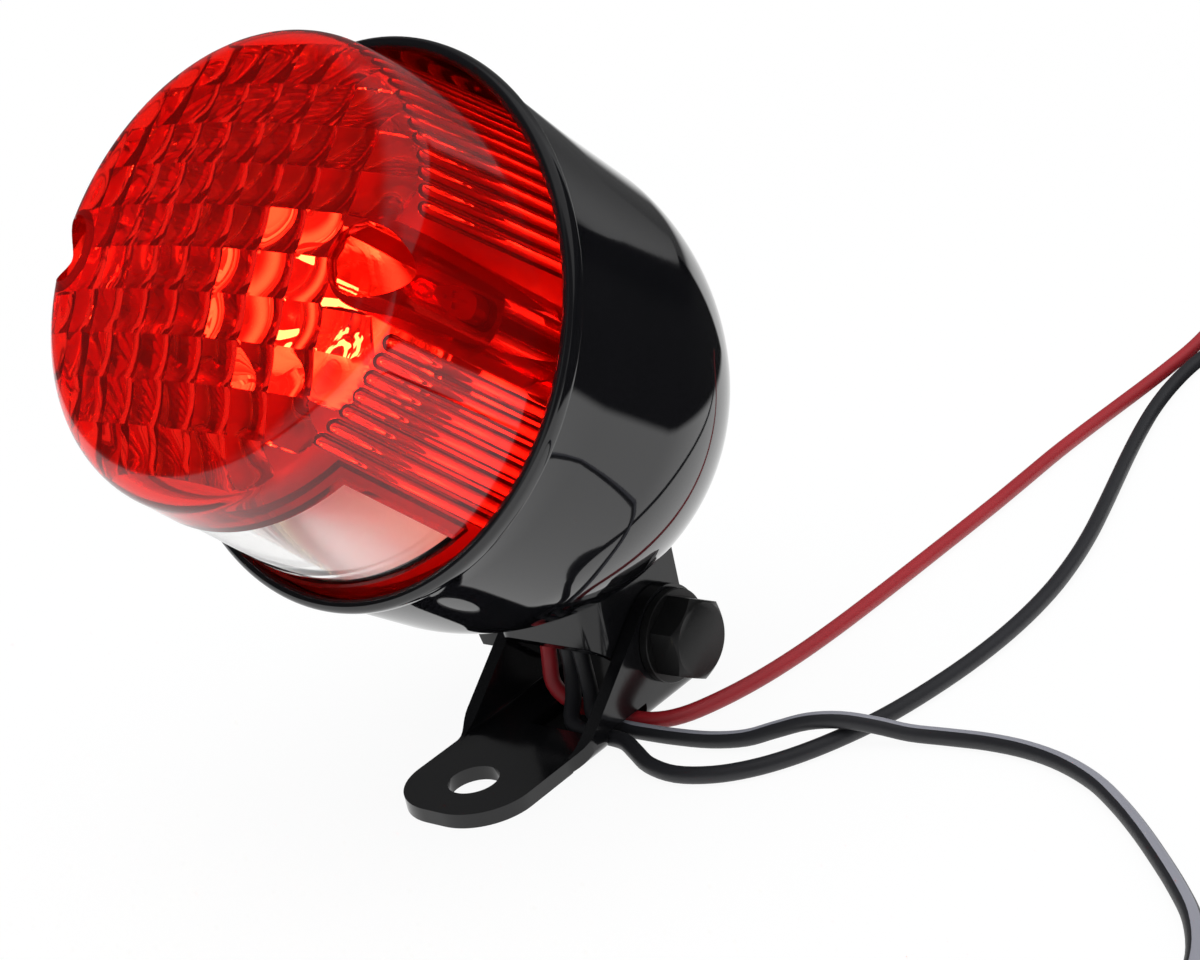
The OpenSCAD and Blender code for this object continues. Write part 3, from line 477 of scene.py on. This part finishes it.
# The room is a white studio. Gloss paint mirrors it darker above and ahead of the lamp, behind
# it, and low down on its dark side, and one large soft lamp hangs over it.
dark_edge = 0.66
up = (0, 0, 1)
over_lamp = (-0.634, -0.477, 0.609)
behind_lamp = (-0.69, 0.65, 0.3)
before_lamp = (0.66, -0.6, 0.45)
soft_light = 0.75
world = bpy.data.worlds.new("white_room")
world.use_nodes = True
scene.world = world
room = world.node_tree
room.nodes.clear()
looking_at = add(room, "ShaderNodeTexCoord").outputs["Generated"]
_, dark = dark_side(room, looking_at, dark_edge)
low_down = arithmetic(room, "SUBTRACT", 1, rise(room, along(room, looking_at, up), 0.27, 0.33))
overhead = rise(room, along(room, looking_at, over_lamp), 0.45, 0.8)
behind = rise(room, along(room, looking_at, behind_lamp), 0.55, 0.85)
before = rise(room, along(room, looking_at, before_lamp), 0.8, 0.93)
mirrored = arithmetic(room, "MULTIPLY", between(room, overhead, 0.45, 0.04),
                      between(room, arithmetic(room, "MULTIPLY", dark, low_down), 1.0, 0.05))
mirrored = arithmetic(room, "MULTIPLY", mirrored, between(room, behind, 1.0, 0.3))
mirrored = arithmetic(room, "MULTIPLY", mirrored, between(room, before, 1.0, 0.1))
soft = add(room, "ShaderNodeBackground", color=(0.95, 0.97, 1.0, 1), strength=soft_light)
room_light = lit(room, 1.0, mirrored, 1.0, soft.outputs[0])
room.links.new(room_light, add(room, "ShaderNodeOutputWorld").inputs["Surface"])


def softbox(name, place, aim, width, height, power):
    """A flat lamp that faces a point and shows in no reflection."""
    data = bpy.data.lights.new(name, "AREA")
    data.shape = "RECTANGLE"
    data.size = width
    data.size_y = height
    data.energy = power
    lamp = bpy.data.objects.new(name, data)
    scene.collection.objects.link(lamp)
    lamp.location = place
    lamp.rotation_euler = (Vector(aim) - Vector(place)).to_track_quat("-Z", "Y").to_euler()
    lamp.visible_camera = False
    lamp.visible_glossy = False
    return lamp


softbox("overhead", (0.1, -0.1, 0.9), (0, 0, 0.05), 0.8, 0.8, 5)

# The shell is a deep cup of pressed sheet steel in gloss black enamel. Its front edge is
# rolled outward into a bead and slants forward at the top.
pivot = Vector((0, 0.0378, 0.0117))
head_angle = math.radians(40)
axis_rise = 0.0289
rim_ahead = 0.0747
rim_slant = math.radians(12)
rim_r = 0.0425
lip_len = 0.0032
shell_r0 = 0.0413
shell_r1 = 0.04
shell_straight = 0.030
shell_dome = 0.045
shell_round = 1.75
shell_t = 0.001
lamp_place = (Matrix.Translation(pivot) @ Matrix.Rotation(math.pi / 2 - head_angle, 4, "X")
              @ Matrix.Translation((0, axis_rise, rim_ahead)))


def only(piece):
    """Leaves one piece selected and active."""
    bpy.ops.object.select_all(action="DESELECT")
    piece.select_set(True)
    bpy.context.view_layer.objects.active = piece


def arc(middle, radius, first, last, steps):
    """Points on an arc in an outline, with angles in degrees."""
    turns = [math.radians(first + (last - first) * k / steps) for k in range(steps + 1)]
    return [(middle[0] + radius * math.cos(t), middle[1] + radius * math.sin(t)) for t in turns]


def revolved(name, outline, steps=192):
    """Draws an outline of radii and heights by extruding a point along it, and spins it round Z."""
    bpy.ops.object.select_all(action="DESELECT")
    bpy.ops.mesh.primitive_plane_add(size=0.001, location=(0, 0, 0))
    piece = bpy.context.object
    piece.name = name
    bpy.ops.object.mode_set(mode="EDIT")
    bpy.ops.mesh.merge(type="CENTER")
    bpy.ops.transform.translate(value=(outline[0][0], 0, outline[0][1]))
    for (r0, z0), (r1, z1) in zip(outline, outline[1:]):
        bpy.ops.mesh.extrude_vertices_move(TRANSFORM_OT_translate={"value": (r1 - r0, 0, z1 - z0)})
    bpy.ops.mesh.select_all(action="SELECT")
    bpy.ops.mesh.spin(steps=steps, angle=2 * math.pi, center=(0, 0, 0), axis=(0, 0, 1))
    bpy.ops.mesh.select_all(action="SELECT")
    bpy.ops.mesh.remove_doubles(threshold=1e-6)
    bpy.ops.mesh.normals_make_consistent(inside=False)
    bpy.ops.object.mode_set(mode="OBJECT")
    return piece


def settle(piece, angle=30):
    """Puts a piece made on the lamp's axis in its place, and leaves its object at the origin."""
    only(piece)
    piece.matrix_world = lamp_place @ piece.matrix_world
    bpy.ops.object.transform_apply(location=True, rotation=True, scale=True)
    bpy.ops.object.shade_smooth_by_angle(angle=math.radians(angle))


def dome_points(cut):
    """The domed end's outline from its start to the pole, set in by the sheet."""
    steps, found = 30, []
    for k in range(steps + 1):
        deep = (shell_dome - cut) * math.sin(math.pi / 2 * k / steps) ** (2 / shell_round)
        full = max(0, 1 - (deep / (shell_dome - cut)) ** shell_round)
        found.append(((shell_r1 - cut) * full ** (1 / shell_round), -shell_straight - deep))
    return found


inner_r = shell_r0 - shell_t
wall_start = -0.014
bent_from = wall_start + 0.001
wall_slope = (shell_r0 - shell_r1) / shell_straight
roll_in, roll_out, roll_under = 0.0009, 0.0013, 0.0011
bead = (arc((inner_r + roll_in, -roll_in), roll_in, 180, 90, 4)
        + arc((rim_r - roll_out, -roll_out), roll_out, 90, 0, 6)
        + arc((rim_r - roll_under, roll_under - lip_len), roll_under, 0, -90, 5)
        + [(shell_r0 + 0.00005, -lip_len - 0.0001), (shell_r0, -lip_len - 0.0005)])
outline = (bead + [(shell_r0 + wall_slope * wall_start, wall_start)] + dome_points(0)
           + list(reversed(dome_points(shell_t)))
           + [(inner_r + wall_slope * wall_start, wall_start), bead[0]])
shell = revolved("shell", outline)
only(shell)
bpy.ops.object.mode_set(mode="EDIT")
bpy.ops.mesh.select_all(action="DESELECT")
bpy.ops.object.mode_set(mode="OBJECT")
for v in shell.data.vertices:
    v.select = v.co.z > bent_from
bpy.ops.object.mode_set(mode="EDIT")
bpy.ops.mesh.select_mode(type="VERT")
bpy.ops.transform.rotate(value=-rim_slant, orient_axis="X", center_override=(0, 0, 0))
bpy.ops.transform.resize(value=(1, 1 / math.cos(rim_slant), 1 / math.cos(rim_slant)),
                         center_override=(0, 0, 0))
bpy.ops.object.mode_set(mode="OBJECT")
settle(shell, angle=40)
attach(shell, "lamp_head")
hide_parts("housing")
dress(shell, finish("gloss_enamel", (0.004, 0.004, 0.005), (0.006, 0.006, 0.007), 0.03, 0.06,
                    0.0012, 0.0000015, ior=1.6))

# The lens is a deep red moulded cap with a rounded corner. Inside, its front face has rows of
# small pillows that reach round the corner, and its side wall has fine flutes. Two wells take
# the screws.
lens_r0 = 0.0398
lens_r1 = 0.0362
lens_seat = 0.011
lens_h = 0.0311
lens_corner = 0.0075
lens_dome_r = 0.115
lens_t = 0.0024
pillow_pitch = 0.0063
pillow_h = 0.0012
pillow_rows = 5
pillow_cuts = 12
pillow_off_wall = 0.0037
pillow_off_well = 0.0005
pillow_base = 0.0004
flute_n = 80
flute_r = 0.00145
flute_sunk = 0.0008
flute_past = 0.002
flute_off_well = 0.0012
flute_off_window = 0.06
screw_gap = 0.0615
well_r = 0.0052
column_t = 0.0012
well_floor = 0.008
screw_hole_r = 0.0023
window_front = 0.017
window_back = 0.006
window_half = math.radians(41)
lens_fall = (lens_r0 - lens_r1) / (lens_seat + lens_h - lens_corner)


def lens_r(z):
    """The side wall's outer radius at a height."""
    return lens_r1 + (lens_h - lens_corner - z) * lens_fall


dome_lean = math.asin((lens_r1 - lens_corner) / (lens_dome_r - lens_corner))
dome_z = lens_h - lens_corner - (lens_dome_r - lens_corner) * math.cos(dome_lean)


def face_z(r, cut=0.0):
    """Height of the domed face, or of its inner side."""
    return dome_z + math.sqrt((lens_dome_r - cut) ** 2 - r * r)


def inner_z(r):
    """Height of the inner side, under the face and round the corner."""
    middle, inner_corner, furthest = lens_r1 - lens_corner, lens_corner - lens_t, 0.94
    if r <= middle + inner_corner * math.sin(dome_lean):
        return face_z(r, lens_t)
    out = min(r - middle, furthest * inner_corner)
    return lens_h - lens_corner + math.sqrt(inner_corner**2 - out**2)


def lens_outline(cut, low):
    """The lens's outline from its rear edge to the middle of its face, set in by a wall."""
    lean = math.degrees(dome_lean)
    corner = arc((lens_r1 - lens_corner, lens_h - lens_corner), lens_corner - cut, 0, 90 - lean, 12)
    face = arc((0, dome_z), lens_dome_r - cut, 90 - lean, 90, 12)[1:]
    return [(0, low), (lens_r(low) - cut, low), *corner, *face]


def cut_by(piece, tool, operation="DIFFERENCE"):
    """A boolean of a piece with a tool that is used up."""
    only(piece)
    bpy.ops.object.modifier_add(type="BOOLEAN")
    change = piece.modifiers[-1]
    change.operation = operation
    change.solver = "MANIFOLD"
    change.object = tool
    bpy.ops.object.modifier_apply(modifier=change.name)
    bpy.data.objects.remove(tool)


def joined(name, pieces):
    """Several pieces as one."""
    bpy.ops.object.select_all(action="DESELECT")
    for p in pieces:
        p.select_set(True)
    bpy.context.view_layer.objects.active = pieces[0]
    bpy.ops.object.join()
    pieces[0].name = name
    return pieces[0]


def copies(piece, places):
    """A copy of a piece, with its own mesh, at each place; the first piece is used up."""
    made = []
    for place in places:
        copy = piece.copy()
        copy.data = piece.data.copy()
        copy.data.transform(place)
        scene.collection.objects.link(copy)
        made.append(copy)
    bpy.data.objects.remove(piece)
    return made


def cylinder(radius, low, high, vertices=64, x=0):
    """A cylinder along the lamp's axis between two heights."""
    bpy.ops.object.select_all(action="DESELECT")
    bpy.ops.mesh.primitive_cylinder_add(vertices=vertices, radius=radius, depth=high - low,
                                        location=(x, 0, (low + high) / 2))
    bpy.ops.object.transform_apply(location=True, rotation=True, scale=True)
    return bpy.context.object


def near_well(x, y, room):
    """Whether a place is in a screw column or within this room of it."""
    return math.hypot(abs(x) - screw_gap / 2, y) < well_r + column_t + room


def bulge(x, y):
    """How far the block stands out at a place: a ball's cap in each cell that has a pillow."""
    cell = [max(-pillow_rows, min(pillow_rows - 1, math.floor(t / pillow_pitch))) for t in (x, y)]
    u, v = ((t / pillow_pitch - c - 0.5) * 2 for t, c in zip((x, y), cell))
    mid = [(c + 0.5) * pillow_pitch for c in cell]
    if math.hypot(*mid) > lens_r1 - pillow_off_wall or near_well(*mid, pillow_off_well):
        return -pillow_base
    return pillow_h * (1 - (u * u + v * v) / 2)


def pillow_field():
    """All the pillows as one block whose lower side bulges in every cell."""
    block_t, cuts = 0.001, 2 * pillow_rows * pillow_cuts
    bpy.ops.object.select_all(action="DESELECT")
    bpy.ops.mesh.primitive_grid_add(x_subdivisions=cuts, y_subdivisions=cuts,
                                    size=2 * pillow_rows * pillow_pitch)
    block = bpy.context.object
    block.name = "pillows"
    bpy.ops.object.mode_set(mode="EDIT")
    bpy.ops.mesh.select_all(action="SELECT")
    bpy.ops.mesh.extrude_region_move(TRANSFORM_OT_translate={"value": (0, 0, block_t)})
    bpy.ops.object.mode_set(mode="OBJECT")
    for v in block.data.vertices:
        inner = inner_z(math.hypot(v.co.x, v.co.y))
        v.co.z = inner + block_t if v.co.z > block_t / 2 else inner - bulge(v.co.x, v.co.y)
    bpy.ops.object.mode_set(mode="EDIT")
    bpy.ops.mesh.select_all(action="SELECT")
    bpy.ops.mesh.normals_make_consistent(inside=False)
    bpy.ops.object.mode_set(mode="OBJECT")
    return block


pillows = pillow_field()

# The flutes are half-round ribs with round front ends, side by side round the wall. They stop
# at the window and leave the screw columns free.
flute_low = flute_past - lens_seat
flute_high = lens_h - lens_corner + flute_past
flute_l = (flute_high - flute_low) / math.cos(math.atan(lens_fall))
rib = revolved("rib", [(0, 0), (flute_r, 0),
                       *arc((0, flute_l - flute_r), flute_r, 0, 90, 5)], steps=20)
lean = (Matrix.Translation((lens_r(flute_low) - lens_t + flute_sunk, 0, flute_low))
        @ Matrix.Rotation(-math.atan(lens_fall), 4, "Y"))
wall = lens_r1 - lens_t
turns = []
for k in range(flute_n):
    turn = 2 * math.pi * (k + 0.5) / flute_n
    from_bottom = abs((turn - 1.5 * math.pi + math.pi) % (2 * math.pi) - math.pi)
    beside_well = near_well(wall * math.cos(turn), wall * math.sin(turn), flute_off_well)
    if from_bottom >= window_half + flute_off_window and not beside_well:
        turns.append(Matrix.Rotation(turn, 4, "Z") @ lean)
flutes = joined("flutes", copies(rib, turns))

# The inside is one core that carries the pillows, flutes and columns, as the mould's does. It
# is taken out of the cap, and the wells and screw holes are drilled.
lens_steps = 256
past = 0.001
core = revolved("core", lens_outline(lens_t, -lens_seat - 2 * past), steps=lens_steps)
for x in (-screw_gap / 2, screw_gap / 2):
    cut_by(core, cylinder(well_r + column_t, -lens_seat - past, lens_h, x=x))
cut_by(core, pillows)
cut_by(core, flutes)
lens = revolved("lens", lens_outline(0, -lens_seat), steps=lens_steps)
cut_by(lens, core)
for x in (-screw_gap / 2, screw_gap / 2):
    cut_by(lens, cylinder(well_r, well_floor, lens_h + 0.01, x=x))
    cut_by(lens, cylinder(screw_hole_r, -lens_seat - past, lens_h, vertices=32, x=x))


def wall_piece(name, inner, outer, low, high, half):
    """A piece of the side wall between two heights, over an angle at the lens's bottom."""
    bpy.ops.object.select_all(action="DESELECT")
    bpy.ops.mesh.primitive_plane_add(size=0.001, location=(0, 0, 0))
    piece = bpy.context.object
    piece.name = name
    corners = [(lens_r(z) + out, 0, z) for z in (low, high) for out in (inner, outer)]
    for v, corner in zip(piece.data.vertices, corners):
        v.co = corner
    bpy.ops.object.mode_set(mode="EDIT")
    bpy.ops.mesh.select_all(action="SELECT")
    bpy.ops.transform.rotate(value=math.pi / 2 + half, orient_axis="Z", center_override=(0, 0, 0))
    bpy.ops.mesh.spin(steps=64, angle=2 * half, center=(0, 0, 0), axis=(0, 0, -1))
    bpy.ops.mesh.select_all(action="SELECT")
    bpy.ops.mesh.normals_make_consistent(inside=False)
    bpy.ops.object.mode_set(mode="OBJECT")
    return piece


opening_in, opening_out = -0.009, 0.003
cut_by(lens, wall_piece("opening", opening_in, opening_out, -window_back, window_front,
                        window_half))
settle(lens)
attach(lens, "lamp_head")
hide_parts("red_lens")


def clear(name, colour, roughness, size, depth, **more):
    """A clear moulding or glass with its colour and a slight unevenness."""
    material, tree = blank(name)
    marks = grained(tree, size)
    shader = add(tree, "ShaderNodeBsdfPrincipled", base_color=(*colour, 1), roughness=roughness,
                 normal=bumped(tree, marks.outputs["Height"], depth), **more)
    show(tree, shader.outputs[0])
    return material


lamp_axis = lamp_place.to_3x3() @ Vector((0, 0, 1))


def over(tree, point):
    """How far a surface lies ahead of a point along the lamp's axis."""
    place = add(tree, "ShaderNodeTexCoord").outputs["Object"]
    return arithmetic(tree, "SUBTRACT", along(tree, place, lamp_axis), point.dot(lamp_axis))


def painted_glow_near_wells(tree):
    """A mask of the plastic round the two screw wells, full at them and fading out, where the painted glow
    is stronger.
    """
    full_r, faded_r = 0.0062, 0.009
    place = add(tree, "ShaderNodeTexCoord").outputs["Object"]
    upward = lamp_place.to_3x3() @ Vector((0, 1, 0))
    aside = arithmetic(tree, "ABSOLUTE", along(tree, place, (1, 0, 0)))
    aside = arithmetic(tree, "SUBTRACT", aside, screw_gap / 2)
    up = arithmetic(tree, "SUBTRACT", along(tree, place, upward),
                    lamp_place.translation.dot(upward))
    away = arithmetic(tree, "MULTIPLY_ADD", up, up, arithmetic(tree, "MULTIPLY", aside, aside))
    away = arithmetic(tree, "SQRT", away)
    return arithmetic(tree, "SUBTRACT", 1, rise(tree, away, full_r, faded_r))


def red_plastic_lens():
    """Clear red plastic, darker down the side wall as painted shade, with a faint painted glow."""
    painted_shade_side_red, face_red = (0.53, 0.005, 0.003), (0.98, 0.012, 0.006)
    painted_glow_red, painted_well_glow_red = (0.2, 0.001, 0), (1, 0.003, 0.002)
    shade_full_behind, shade_gone_from = -0.012, -0.004
    material, tree = blank("red_lens_plastic")
    marks = grained(tree, 0.003)
    front = lamp_place @ Vector((0, 0, lens_h))
    # Painted shade: the red is darker toward the rear of the side wall.
    clear_of_lens_shade = rise(tree, over(tree, front), shade_full_behind, shade_gone_from)
    # The emission is a painted glow in the plastic, stronger round the screw wells.
    shader = add(tree, "ShaderNodeBsdfPrincipled", roughness=0.012, ior=1.49,
                 transmission_weight=0.96, base_color=tones(tree, clear_of_lens_shade, painted_shade_side_red, face_red),
                 emission_color=tones(tree, painted_glow_near_wells(tree), painted_glow_red, painted_well_glow_red),
                 emission_strength=0.045, normal=bumped(tree, marks.outputs["Height"], 0.000003))
    show(tree, shader.outputs[0])
    return material


dress(lens, red_plastic_lens())

# A clear window in the bottom of the side wall lets light down on the number plate. Its edge
# laps behind the opening in the lens.
window_sink = 0.0005
window_gap = 0.0001
lap = 0.0015
lap_t = 0.0012
window = wall_piece("window", -lens_t - lap_t / 2, -window_sink, window_gap - window_back,
                    window_front - window_gap, window_half - window_gap / lens_r1)
window_lap = wall_piece("window_lap", -lens_t - window_gap - lap_t, -lens_t - window_gap,
                        -window_back - lap, window_front + lap, window_half + lap / lens_r1)
cut_by(window, window_lap, "UNION")
settle(window)
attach(window, "lamp_head")
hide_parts("plate_window")
dress(window, clear("clear_window", (0.96, 0.95, 0.94), 0.02, 0.003, 0.000003, ior=1.52,
                    transmission_weight=1))

# The foot and the leg are folded steel channels in satin black paint. Each is a copy of the CAD
# part with its loose triangles merged and its edges rounded, as pressing and paint leave them.


def softened(name, node, width):
    """A CAD node's copy that has rounded edges and stands for the node."""
    crease = math.radians(35)
    source = frame["nodes"][node]
    piece = bpy.data.objects.new(name, source.data.copy())
    scene.collection.objects.link(piece)
    only(piece)
    bpy.ops.object.mode_set(mode="EDIT")
    bpy.ops.mesh.select_all(action="SELECT")
    bpy.ops.mesh.remove_doubles(threshold=1e-6)
    bpy.ops.mesh.dissolve_limited(angle_limit=math.radians(1))
    bpy.ops.object.mode_set(mode="OBJECT")
    bpy.ops.object.shade_smooth_by_angle(angle=crease)
    bpy.ops.object.modifier_add(type="BEVEL")
    change = piece.modifiers[-1]
    change.width = width
    change.segments = 3
    change.limit_method = "ANGLE"
    change.angle_limit = crease
    change.harden_normals = True
    bpy.ops.object.modifier_apply(modifier=change.name)
    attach(piece, body_of(source)[0])
    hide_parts(node)
    return piece


pressed_edge = 0.0005
bracket_paint = finish("bracket_paint", (0.004, 0.004, 0.0045), (0.007, 0.007, 0.008), 0.10, 0.18,
                       0.0009, 0.000004)
for name, node in (("foot_pressing", "foot_bracket"), ("leg_pressing", "housing_leg")):
    part = softened(name, node, pressed_edge)
    dress(part, bracket_paint)

# The tilt bolt, its washers and its nut are steel in black oxide. The bolt's rolled thread shows
# as crests round its free end, past the nut.
turned_edge = 0.0002
thread_r = 0.0039
crest_d = 0.0006
thread_pitch = 0.00125
thread_start, thread_end = -0.0245, -0.029
per_turn = 32
oxide = finish("black_oxide", (0.005, 0.005, 0.005), (0.010, 0.010, 0.010), 0.30, 0.42,
               0.0005, 0.00001, specular_ior_level=0.3)
for name, node in (("bolt", "tilt_bolt"), ("washers", "tilt_washers"), ("nut", "tilt_nut")):
    part = softened(name, node, turned_edge)
    dress(part, oxide)
helix = []
for k in range(int((thread_start - thread_end) / thread_pitch * per_turn)):
    turn = 2 * math.pi * k / per_turn
    helix.append(pivot + Vector((thread_start - thread_pitch * k / per_turn,
                                 thread_r * math.cos(turn), thread_r * math.sin(turn))))
thread = swept("bolt_thread", [helix], crest_d, 8)
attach(thread, "foot")
dress(thread, oxide)

# The bulb is clear glass with two lit filaments on a glass bead. Its glass has a painted glow
# in a band round them, and the wires are a little uneven along their length.
glass_grain, glass_depth = 0.006, 0.00001
warm = (1, 0.85, 0.45)
hot_wires = frame["nodes"]["filaments"]
hot_points = [hot_wires.matrix_world @ v.co for v in hot_wires.data.vertices]
hot_middle = sum(hot_points, Vector()) / len(hot_points)
bead_glass = clear("bead_glass", (1, 1, 1), 0.0, glass_grain, glass_depth, ior=1.5,
                   transmission_weight=1)


def glass_with_painted_glow(strength):
    """Clear bulb glass with a painted glow in a band round the filaments, faint elsewhere."""
    glow_full_to, glow_end_at, faint_painted_glow = 0.0003, 0.0045, 0.02
    material, tree = blank("bulb_glass")
    marks = grained(tree, glass_grain)
    # The glass glows in a band round the filaments: a painted glow standing in for their light and halo.
    off = arithmetic(tree, "ABSOLUTE", over(tree, hot_middle))
    painted_glow_colour = tones(tree, rise(tree, off, glow_full_to, glow_end_at), warm, [faint_painted_glow * c for c in warm])
    shader = add(tree, "ShaderNodeBsdfPrincipled", base_color=(1, 1, 1, 1), roughness=0, ior=1.5,
                 transmission_weight=1, emission_color=painted_glow_colour, emission_strength=strength,
                 normal=bumped(tree, marks.outputs["Height"], glass_depth))
    show(tree, shader.outputs[0])
    return material


def glowing_wire(strength):
    """A hot wire between two warm colours."""
    material, tree = blank("filament_glow")
    marks = grained(tree, 0.0008)
    shader = add(tree, "ShaderNodeBsdfPrincipled", base_color=(0.3, 0.3, 0.3, 1), roughness=0.4,
                 emission_color=tones(tree, marks.outputs["Slow"], warm, (1, 0.75, 0.4)),
                 emission_strength=strength)
    show(tree, shader.outputs[0])
    return material


bulb_glass_painted_glow = glass_with_painted_glow(8)
glow = glowing_wire(140)

# The other parts are the CAD parts themselves, each with its own finish: zinc-plated strap,
# socket and screws, a bright reflector plate, brass cap and contacts, rubber seals and grommet,
# brown fibre, and a grey foam gasket under the lens.
zinc = finish("zinc_plate", (0.60, 0.60, 0.58), (0.75, 0.75, 0.74), 0.22, 0.38, 0.0006, 0.000006,
              metallic=1)
chrome = finish("bright_reflector", (0.88, 0.88, 0.88), (0.94, 0.94, 0.94), 0.30, 0.42,
                0.002, 0.00002, metallic=1)
brass = finish("brass_cap", (0.62, 0.48, 0.22), (0.72, 0.58, 0.30), 0.22, 0.36, 0.0006, 0.000008,
               metallic=1)
rubber = finish("black_rubber", (0.014, 0.014, 0.014), (0.024, 0.024, 0.024), 0.55, 0.75,
                0.0005, 0.00002)
fibre = finish("brown_fibre", (0.10, 0.045, 0.018), (0.16, 0.075, 0.03), 0.5, 0.7, 0.0004, 0.00002)
foam = finish("grey_foam_rubber", (0.20, 0.20, 0.20), (0.28, 0.28, 0.27), 0.7, 0.9, 0.0005, 0.00003)
plain_finishes = {
    "cross_strap": zinc, "reflector_plate": chrome, "plate_screws": zinc, "plate_nuts": zinc,
    "lens_gasket": foam, "lens_screws": zinc, "screw_seals": rubber,
    "bulb_socket": zinc, "contact_spring": zinc, "contact_disc": fibre, "contacts": brass,
    "bulb_cap": brass, "bulb_glass": bulb_glass_painted_glow, "filament_mount": bead_glass, "filaments": glow,
    "earth_eyelet": brass, "inner_leads": red_plastic, "cable_grommet": rubber,
    "spring_washer": zinc, "lead_drops": black_plastic,
}
for node, material in plain_finishes.items():
    dress(frame["nodes"][node], material)
